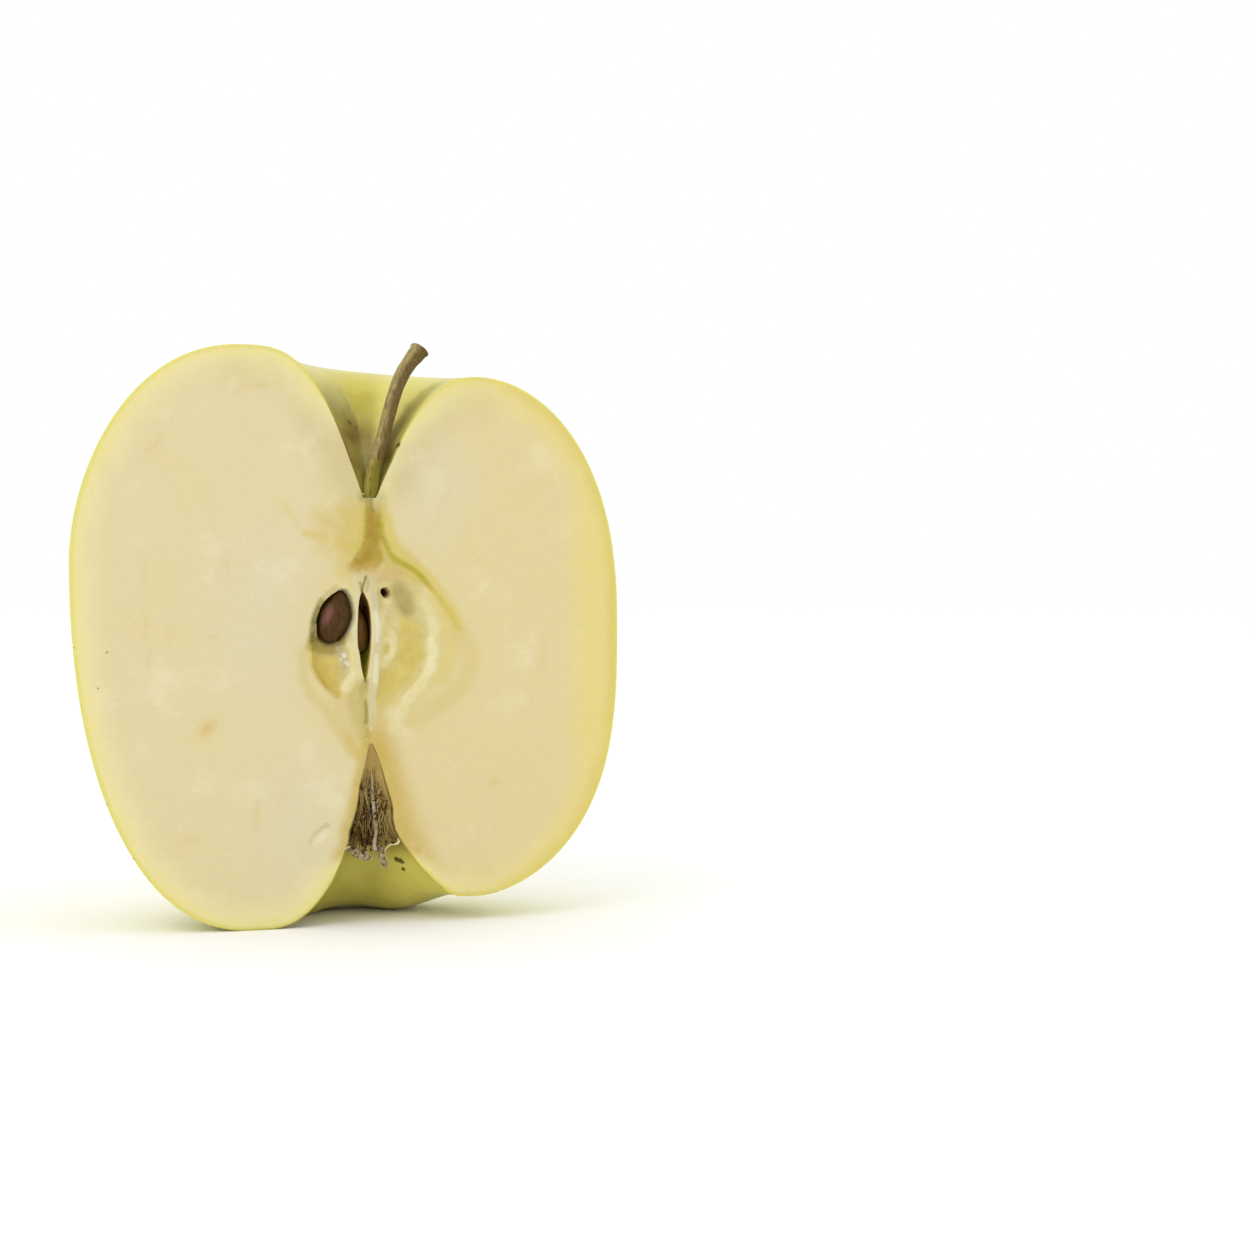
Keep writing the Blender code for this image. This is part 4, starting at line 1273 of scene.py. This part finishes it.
def seedMaterial(name, dark, light):
    recipe = Recipe(name)
    places = recipe.places()
    streak = recipe.cloud(recipe.stretched(places, (1.0, 1.0, 0.25)), 0.5, 4.0, 0.6, 0.3)
    blotch = recipe.cloud(places, 2.0, 3.0, 0.5)
    coat = recipe.blend(recipe.rise(streak, 0.35, 0.7), dark, light)
    coat = recipe.layers(coat, ((88, 56, 26), blotch, 0.5, 0.75, 0.0, 0.25))
    # painted highlight on the seed's left third
    coat = recipe.blend(recipe.painted("paintedHighlight") * (0.55 + streak * 0.5), coat, (132, 84, 78))
    # painted shade along the seed's outline
    coat = recipe.blend(recipe.painted("rim"), coat, (34, 20, 4))
    bump = recipe.relief(streak, seedForm["relief"])
    rough = seedForm["roughness"] + (streak - 0.5) * 0.25
    others = {"Coat Weight": 0.05, "Coat Roughness": 0.2}
    return recipe.finish(coat, rough, seedForm["specular"], bump, others)


def makeSeed(name, size, material):
    places, faces, rim, paintedHighlight = [], [], [], []
    lean, half = math.radians(size["lean"]), size["half"]
    around, tall = seedForm["around"], seedForm["tall"]
    for ring in range(tall + 1):
        breadth, z = math.sin(math.pi * ring / tall), math.cos(math.pi * ring / tall)
        for step in range(around):
            turn = 2 * math.pi * step / around
            x, y = breadth * math.cos(turn), breadth * math.sin(turn)
            narrow = 1 - size["point"] * max(z, 0.0) ** 1.5
            lump = 1 + 0.014 * noise.noise(Vector((x, y, z)) * 2.4) - 0.012
            side, back, up = Vector((x * half[0] * narrow, y * half[1] * narrow, z * half[2])) * lump
            right = side * math.cos(lean) + up * math.sin(lean)
            high = up * math.cos(lean) - side * math.sin(lean)
            places.append(tuple(Vector((right, back, high)) + Vector(size["at"])))
            # painted shade along the outline as seen from the front
            rim.append(0.85 * float(easeStep(math.hypot(x, z), 0.84, 0.98)))
            # painted highlight on the front, in the left third
            off = math.hypot((x + 0.5 - 0.12 * z) / 0.3, (z + 0.06) / 0.55)
            paintedHighlight.append(float(1 - easeStep(off, 0.0, 1.2)) if y < 0 else 0.0)
    for low in range(0, tall * around, around):
        for step in range(around):
            beside = (step + 1) % around
            faces.append((low + step, low + beside, low + around + beside, low + around + step))
    made = pieceFrom(name, places, faces)
    storeValue(made.data, "rim", rim)
    storeValue(made.data, "paintedHighlight", paintedHighlight)
    made.data.materials.append(material)
    shape = bmesh.new()
    shape.from_mesh(made.data)
    bmesh.ops.remove_doubles(shape, verts=shape.verts, dist=1e-7)
    shape.to_mesh(made.data)
    shape.free()
    fixNormals(made, 0.0)
    return made


for name, size in seeds.items():
    settle(makeSeed(name + "_seen", size, seedMaterial(*size["coat"])), "seed_coat", name)
print("seeds done")


calyx = {
    "style": (
        (0.28, 0.5, 20.9), (0.4, 0.7, 19.36), (0.5, 0.8, 17.85), (0.66, 0.9, 16.07), (0.86, 0.9, 14.16),
        (0.97, 0.8, 12.53), (0.73, 0.7, 11.18), (0.82, 0.8, 10.08),
    ),
    "styleRadii": (0.03, 0.16, 0.24, 0.2, 0.2, 0.26, 0.24, 0.3),
    "styleCount": 5,
    "lining": {"around": 96, "tall": 84, "low": 10.2, "high": 24.6, "gap": 0.5, "lump": 0.5},
    "filaments": {
        "count": 130, "azimuth": (8, 172), "top": (12.5, 21.5), "drop": (2.0, 7.0), "topReach": (0.45, 0.9),
        "lowReach": (0.2, 0.82), "sway": (-0.8, 0.8), "bend": 0.3, "thick": (0.03, 0.08),
        "withAnther": 0.4, "anther": (0.12, 0.24),
    },
    "curls": {
        "count": 110, "azimuth": (10, 170), "height": (11.5, 19.5), "reach": (0.25, 0.85),
        "length": (0.5, 1.5), "bend": 0.4, "thick": (0.02, 0.05),
    },
    "shreds": {
        "count": 60, "azimuth": (12, 168), "height": 15.6, "spread": 1.1, "reach": (0.35, 0.9),
        "size": (0.08, 0.2),
    },
    "hairs": {"perSepal": 210, "length": (0.08, 0.24), "shade": (0.1, 0.7)},
    "roughness": 0.78,
    "specular": 0.15,
    "relief": 0.00014,
    "sepals": {
        "sepal_left": {
            "points": (
                (-3.0, 1.25, 10.9), (-2.55, 1.2, 10.4), (-1.8, 1.15, 9.9), (-0.95, 1.15, 9.4),
                (-0.1, 1.2, 9.1),
                (0.5, 1.3, 8.95),
            ),
            "radii": (0.32, 0.6, 0.72, 0.74, 0.64, 0.3),
            "deep": 0.5,
        },
        "sepal_middle": {
            "points": (
                (1.75, 1.5, 10.8), (1.88, 1.35, 9.95), (1.98, 1.3, 9.05), (2.25, 1.35, 8.25),
                (2.5, 1.45, 7.55),
            ),
            "radii": (0.35, 0.56, 0.64, 0.6, 0.4),
            "deep": 0.6,
        },
    },
    "longHairs": (  # a tone, and the points that each hair follows, with how thick it is there
        (0.7, (-0.44, 0.1, 25.4, 0.05), (-0.48, 0.2, 24.58, 0.12), (-0.43, 0.25, 23.49, 0.14),
         (-0.53, 0.3, 22.68, 0.1),
         (-0.62, 0.5, 21.85, 0.03)),
        (0.6, (-0.77, 0.5, 18.6, 0.03), (-0.57, 0.5, 17.51, 0.04), (-0.29, 0.5, 16.55, 0.04),
         (0.08, 0.6, 15.57, 0.02)),
        (0.6, (1.61, 0.5, 19.07, 0.03), (1.33, 0.5, 17.99, 0.04), (1.11, 0.5, 16.91, 0.04),
         (1.07, 0.6, 15.81, 0.02)),
        (0.7, (2.2, 0.9, 9.9, 0.06), (2.52, 0.6, 10.45, 0.09), (2.96, 0.4, 10.79, 0.1),
         (3.64, 0.3, 10.84, 0.13),
         (4.03, 0.3, 11.17, 0.2), (3.95, 0.4, 11.64, 0.08)),
        (0.5, (-4.2, 0.1, 10.08, 0.02), (-3.7, 0.02, 10.4, 0.1), (-3.2, 0.1, 10.65, 0.13),
         (-2.7, 0.4, 10.7, 0.05)),
        (0.3, (-0.2, 0.6, 15.8, 0.03), (0.1, 0.5, 14.6, 0.04), (-0.1, 0.5, 13.4, 0.04),
         (0.3, 0.7, 12.2, 0.02)),
        (0.4, (1.6, 0.7, 16.0, 0.03), (1.9, 0.5, 15.0, 0.04), (1.6, 0.6, 13.8, 0.04), (1.9, 0.8, 12.8, 0.02)),
        (0.3, (2.4, 0.6, 14.8, 0.03), (2.2, 0.5, 13.9, 0.04), (2.6, 0.6, 13.0, 0.04), (2.4, 0.8, 12.0, 0.02)),
        (-0.8, (2.6, 1.5, 7.7, 0.06), (2.72, 1.6, 7.1, 0.05), (2.95, 1.7, 6.4, 0.03)),
        (0.3, (2.3, 0.9, 9.95, 0.05), (2.32, 0.8, 9.1, 0.09), (2.7, 0.9, 8.0, 0.05)),
        (0.7, (-1.24, 0.1, 58.59, 0.02), (-0.91, -0.02, 58.38, 0.05), (-0.61, 0.1, 58.45, 0.02)),
    ),
}


def dryMaterial(name, dark, middle, pale, fuzz, drawnOut=0.35):
    recipe = Recipe(name)
    places = recipe.places()
    shade = recipe.painted("shade")
    blotch = recipe.cloud(places, 0.7, 4.0, 0.65)
    fine = recipe.cloud(recipe.stretched(places, (1.0, 1.0, drawnOut)), 0.14, 3.0, 0.6)
    base = recipe.blend(recipe.rise(blotch + (shade - 0.5), 0.3, 0.6), dark, middle)
    base = recipe.layers(base, (pale, fine + (shade - 0.5) * 0.8, 0.48, 0.75))
    bump = recipe.relief(fine + blotch * 0.4, calyx["relief"])
    others = {"Sheen Weight": fuzz, "Sheen Roughness": 0.5}
    return recipe.finish(base, calyx["roughness"] + (fine - 0.5) * 0.2, calyx["specular"], bump, others)


driedDark = dryMaterial("dried_filament", (80, 52, 14), (128, 98, 42), (176, 150, 86), 0.05, 0.75)
driedPale = dryMaterial("dried_style", (126, 104, 80), (170, 150, 126), (210, 196, 178), 0.15)
driedCream = dryMaterial("dried_hair", (176, 156, 104), (214, 198, 144), (238, 228, 186), 0.1)
driedGrey = dryMaterial("dried_sepal", (104, 84, 54), (154, 138, 98), (190, 178, 140), 0.2)


def tubeWall(azimuth, height):  # how far the calyx tube's wall is from the core's line
    outline = outlineAt(azimuth)[-basinCount:]
    for (r0, z0), (r1, z1) in zip(outline, outline[1:]):
        if z0 <= height <= z1:
            return r0 + (r1 - r0) * (height - z0) / max(z1 - z0, 1e-6)
    return outline[-1][0]


def makeStyles():
    shape = Shape()
    source = random.Random(11)
    path = smoothPath(calyx["style"], calyx["styleRadii"], 60)
    for index in range(calyx["styleCount"]):
        turn = 2 * math.pi * index / calyx["styleCount"]
        phase = source.uniform(0, 6)
        strand = []
        for step, (spot, radius) in enumerate(path):
            share = step / (len(path) - 1)
            twist = turn + 1.6 * share
            wander = 0.12 * math.sin(share * 9 + phase) * radius
            offset = Vector((math.cos(twist), math.sin(twist) * 0.8, 0.0)) * (radius * 0.52 + wander)
            strand.append((spot + offset, radius * (0.5 + 0.08 * math.sin(share * 23 + phase))))
        shape.tube(strand, 10, shade=source.uniform(0.35, 0.75), dome=0.05)
    return shape.piece("style_bundle", driedPale)


def makeSepal(name, size):
    def crumple(turn, share):
        place = Vector((math.cos(turn) * 1.3, math.sin(turn) * 1.3, share * 3.5))
        fold = 0.16 * noise.noise(place) + 0.14 * noise.noise(place * 2.6) + 0.1 * noise.noise(place * 6.0)
        fold += 0.08 * math.sin(3 * turn + 5 * share) + 0.07 * math.sin(9 * turn - 7 * share)
        ends = 0.3 + 2.2 * min(share, 1 - share) + 0.25 * noise.noise(Vector((turn, share * 9, 1.0)))
        return (0.86 + fold) * min(1.0, ends)

    shape = Shape()
    shape.tube(smoothPath(size["points"], size["radii"], 70), 48, size["deep"], crumple, 0.5, 0.05)
    shape.shade = [0.55 + 0.45 * noise.noise(Vector(place) * 2.6) for place in shape.places]
    return shape.piece(name + "_crumpled", driedGrey)


def anyWay(source, across, deep, up):  # a direction drawn within these limits
    return Vector([source.uniform(*limits) for limits in (across, deep, up)])


def curled(start, end, bend, source):
    middle = (start + end) / 2 + anyWay(source, *[(-bend, bend)] * 3)
    return [start, (start + middle) / 2 + anyWay(source, *[(-bend, bend)] * 3) * 0.4, middle, end]


def spotInTube(azimuth, reach, height, least):  # a place in the calyx tube, at least so far behind the cut
    return Vector((reach * math.cos(azimuth), max(reach * math.sin(azimuth), least), height))


def behind(points, least):
    for point in points:
        point.y = max(point.y, least)
    return points


def makeLining():  # the mat of withered stamens along the tube's wall
    sizes = calyx["lining"]
    columns, rows = sizes["around"], sizes["tall"]
    places, faces, shade = [], [], []

    def over(value, low, high):
        return float(easeStep(value, low, high))

    for side in (0, 1):
        for column in range(columns + 1):
            degrees = 3.0 + 174.0 * column / columns
            azimuth = math.radians(degrees)
            way = Vector((math.cos(azimuth), math.sin(azimuth), 0.0))
            low = sizes["low"] + 1.5 * (1 - over(degrees, 15.0, 70.0))
            low += 0.7 * noise.noise(Vector((azimuth * 3.0, 2.0, 0.0)))
            for row in range(rows + 1):
                share = row / rows
                height = low + (sizes["high"] - low) * share
                wall = tubeWall(azimuth, height)
                x, y = way.x * wall, way.y * wall
                lumps = noise.noise(Vector((x * 1.1 + 3.0, y * 1.1 + 1.0, height * 0.55 + 7.0)))
                lumps += 0.6 * noise.noise(Vector((x * 3.0, y * 3.0, height * 0.9)))
                edge = min(1.0, 6.0 * min(share, 1 - share))
                edge *= min(1.0, 8.0 * min(column, columns - column) / columns)
                thick = (sizes["gap"] + sizes["lump"] * lumps) * edge * min(1.0, wall / 2.0)
                radius = max(wall - 0.05 - (max(thick, 0.03) if side else 0.0), 0.02)
                places.append((radius * way.x, max(radius * way.y, 0.06), height))
                tone = 0.6 + 0.45 * noise.noise(Vector((x, y, height * 0.5)) * 1.2)
                tone += 0.4 * (1 - over(degrees, 12.0, 55.0))
                tone -= 0.3 * over(height, 13.8, 15.0) * (1 - over(height, 16.6, 18.2))
                # painted shade: darker low on the left, in the tube's hollow
                tone -= 0.5 * over(degrees, 105.0, 140.0) * (1 - over(height, 13.5, 15.5))
                shade.append(tone + 0.6 * over(height, 17.5, 22.0))
    step = rows + 1
    back = (columns + 1) * step
    for column in range(columns):
        for row in range(rows):
            corner = column * step + row
            around = (corner, corner + step, corner + step + 1, corner + 1)
            faces.append(around)
            faces.append(tuple(index + back for index in reversed(around)))
    rim = [column * step for column in range(columns + 1)]
    rim += [columns * step + row for row in range(1, rows + 1)]
    rim += [column * step + rows for column in range(columns - 1, -1, -1)]
    rim += list(range(rows - 1, 0, -1))
    for here, ahead in zip(rim, rim[1:] + rim[:1]):
        faces.append((here, ahead, ahead + back, here + back))
    made = pieceFrom("stamen_mat", byTheCalyx(places), faces)
    storeValue(made.data, "shade", shade)
    made.data.materials.append(driedDark)
    fixNormals(made, 0.0)
    return made


def makeFilaments():
    shape = Shape()
    source = random.Random(23)

    def strand(points, thick, tip, steps, tone, dome):
        path = smoothPath(points, [thick, thick * 1.2, thick, thick * tip], steps)
        shape.tube(path, 6, shade=tone, dome=dome)

    def blob(spot, lean, profile, sides, least, tones, dome):  # the profile: how far along, and how thick
        path = [(spot + lean * along, thick) for along, thick in profile]
        behind([place for place, thick in path], least)
        shape.tube(path, sides, shade=source.uniform(*tones), dome=dome)

    def drawn(name):
        return source.uniform(*sizes[name])

    sizes = calyx["filaments"]
    for index in range(sizes["count"]):
        azimuth = math.radians(drawn("azimuth"))
        topZ = drawn("top")
        lowZ = max(topZ - drawn("drop"), 9.9 + 1.3 * max(math.cos(azimuth), 0.0))
        topR = tubeWall(azimuth, topZ) * drawn("topReach")
        lowR = tubeWall(azimuth, lowZ) * drawn("lowReach")
        sway = drawn("sway")
        start = Vector((topR * math.cos(azimuth), topR * math.sin(azimuth) + 0.05, topZ))
        end = Vector((lowR * math.cos(azimuth + sway), abs(lowR * math.sin(azimuth + sway)) + 0.1, lowZ))
        points = behind(curled(start, end, sizes["bend"], source), 0.12)
        thick = drawn("thick")
        tone = source.uniform(0.0, 0.75) + (0.2 if math.cos(azimuth) > 0.5 else 0.0)
        strand(points, thick, 0.6, 16, tone + 0.6 * float(easeStep(topZ, 17.0, 20.0)), thick * 0.5)
        if source.random() < sizes["withAnther"]:  # at its end
            lean = anyWay(source, (-1, 1), (-0.3, 0.6), (-1, -0.2)).normalized()
            size = drawn("anther")
            profile = ((-1.2 * size, 0.4 * size), (0.0, size), (size, 0.9 * size), (2.0 * size, 0.4 * size))
            blob(points[-1], lean, profile, 8, 0.25, (-0.1, 0.35), 0.05)
    sizes = calyx["curls"]  # stray ones across them
    for index in range(sizes["count"]):
        azimuth = math.radians(drawn("azimuth"))
        height = drawn("height")
        start = spotInTube(azimuth, tubeWall(azimuth, height) * drawn("reach"), height, 0.3)
        way = anyWay(source, (-1, 1), (-0.3, 0.3), (-1, 1)).normalized()
        end = start + way * drawn("length")
        wall = 0.85 * tubeWall(0.0 if end.x > 0 else math.pi, end.z)
        end.x = min(max(end.x, -wall), wall)
        points = behind(curled(start, end, sizes["bend"], source), 0.15)
        thick = drawn("thick")
        tone = source.uniform(0.0, 0.95) + 0.4 * float(easeStep(height, 16.5, 18.5))
        strand(points, thick, 0.5, 14, tone, 0.02)
    sizes = calyx["shreds"]  # dark, where the stamens broke off
    for index in range(sizes["count"]):
        azimuth = math.radians(drawn("azimuth"))
        height = source.gauss(sizes["height"], sizes["spread"])
        spot = spotInTube(azimuth, tubeWall(azimuth, height) * drawn("reach"), height, 0.25)
        lean = anyWay(source, (-1, 1), (-0.3, 0.3), (-1, 1)).normalized()
        size = drawn("size")
        profile = ((-2 * size, 0.3 * size), (0.0, size), (1.5 * size, 0.7 * size), (2.6 * size, 0.2 * size))
        blob(spot, lean, profile, 7, 0.2, (-0.2, 0.25), 0.03)
    shape.places = byTheCalyx(shape.places)
    return shape.piece("filaments", driedDark)


def makeHairs():
    shape = Shape()
    source = random.Random(37)
    for size in calyx["sepals"].values():
        middleLine = smoothPath(size["points"], size["radii"], 40)
        for index in range(calyx["hairs"]["perSepal"]):
            spot, radius = source.choice(middleLine)
            turn = source.uniform(math.pi * 0.85, math.pi * 2.15)
            out = Vector((math.cos(turn), math.sin(turn) * size["deep"], source.uniform(-0.5, 0.3)))
            start = spot + out * radius * 0.8
            end = start + out.normalized() * source.uniform(*calyx["hairs"]["length"])
            end += Vector((source.uniform(-0.2, 0.2), 0.0, source.uniform(-0.25, 0.1)))
            start.y, end.y = max(start.y, 0.05), max(end.y, 0.0)
            middle = (start + end) / 2 + anyWay(source, *[(-0.06, 0.06)] * 3)
            path = [(start, 0.016), (middle, 0.014), (end, 0.006)]
            shape.tube(path, 4, shade=source.uniform(*calyx["hairs"]["shade"]), dome=0.01)
    for shade, *points in calyx["longHairs"]:
        path = smoothPath([point[:3] for point in points], [point[3] for point in points], 24)
        shape.tube(path, 8, shade=shade, dome=0.02)
    return shape.piece("pale_hairs", driedCream)


settle(makeStyles(), "dry_calyx", "style_strand")
for name, size in calyx["sepals"].items():
    settle(makeSepal(name, size), "dry_calyx", name)
settle(makeLining(), "dry_calyx")
settle(makeFilaments(), "dry_calyx")
settle(makeHairs(), "dry_calyx")
print("calyx done")


studio = {
    "floorColours": ((254, 254, 254), (251, 251, 250)),
    "floorSize": 3.0,
    "floorRoughness": 0.9,
    "floorSpecular": 0.1,
    "world": 1.0,
    "camera": (-101.92, -406.07, 54.66),
    "look": (0.34181, 0.93912, -0.0349),
    "lens": 85.25,
    "lights": {
        "key": {"at": (-0.55, -0.65, 0.75), "size": 0.55, "power": 1.6},
        "fill": {"at": (0.6, -0.6, 0.35), "size": 0.7, "power": 0.2},
        "top": {"at": (0.05, 0.25, 0.9), "size": 0.7, "power": 0.3},
    },
}


def makeStudio():
    size = studio["floorSize"]
    flat = bpy.data.meshes.new("floor")
    corners = [(-size, -size, 0), (size, -size, 0), (size, size, 0), (-size, size, 0)]
    flat.from_pydata(corners, [], [(0, 1, 2, 3)])
    floor = bpy.data.objects.new("floor", flat)
    bpy.context.scene.collection.objects.link(floor)
    recipe = Recipe("floor")
    grain = recipe.cloud(recipe.places(), 3.0)
    tone = recipe.blend(recipe.rise(grain, 0.4, 0.6, 0.0, 0.05), *studio["floorColours"])
    flat.materials.append(recipe.finish(tone, studio["floorRoughness"], studio["floorSpecular"]))
    world = bpy.data.worlds.new("studio")
    bpy.context.scene.world = world
    world.use_nodes = True
    sky = world.node_tree.nodes["Background"]
    sky.inputs["Color"].default_value = (1.0, 1.0, 1.0, 1.0)
    sky.inputs["Strength"].default_value = studio["world"]
    for name, light in studio["lights"].items():
        data = bpy.data.lights.new(name, "AREA")
        data.size = light["size"]
        data.energy = light["power"]
        lamp = bpy.data.objects.new(name, data)
        lamp.location = light["at"]
        aim = Vector((0.0, 0.0, 0.04)) - Vector(light["at"])
        lamp.rotation_euler = aim.to_track_quat("-Z", "Y").to_euler()
        bpy.context.scene.collection.objects.link(lamp)
    data = bpy.data.cameras.new("camera")
    data.lens = studio["lens"]
    data.sensor_width = 36.0
    data.clip_start = 0.01
    camera = bpy.data.objects.new("camera", data)
    camera.location = Vector(studio["camera"]) * millimetre
    camera.rotation_euler = Vector(studio["look"]).to_track_quat("-Z", "Y").to_euler()
    bpy.context.scene.collection.objects.link(camera)
    bpy.context.scene.camera = camera
    bpy.context.scene.view_settings.view_transform = "Standard"


makeStudio()
print("studio done")
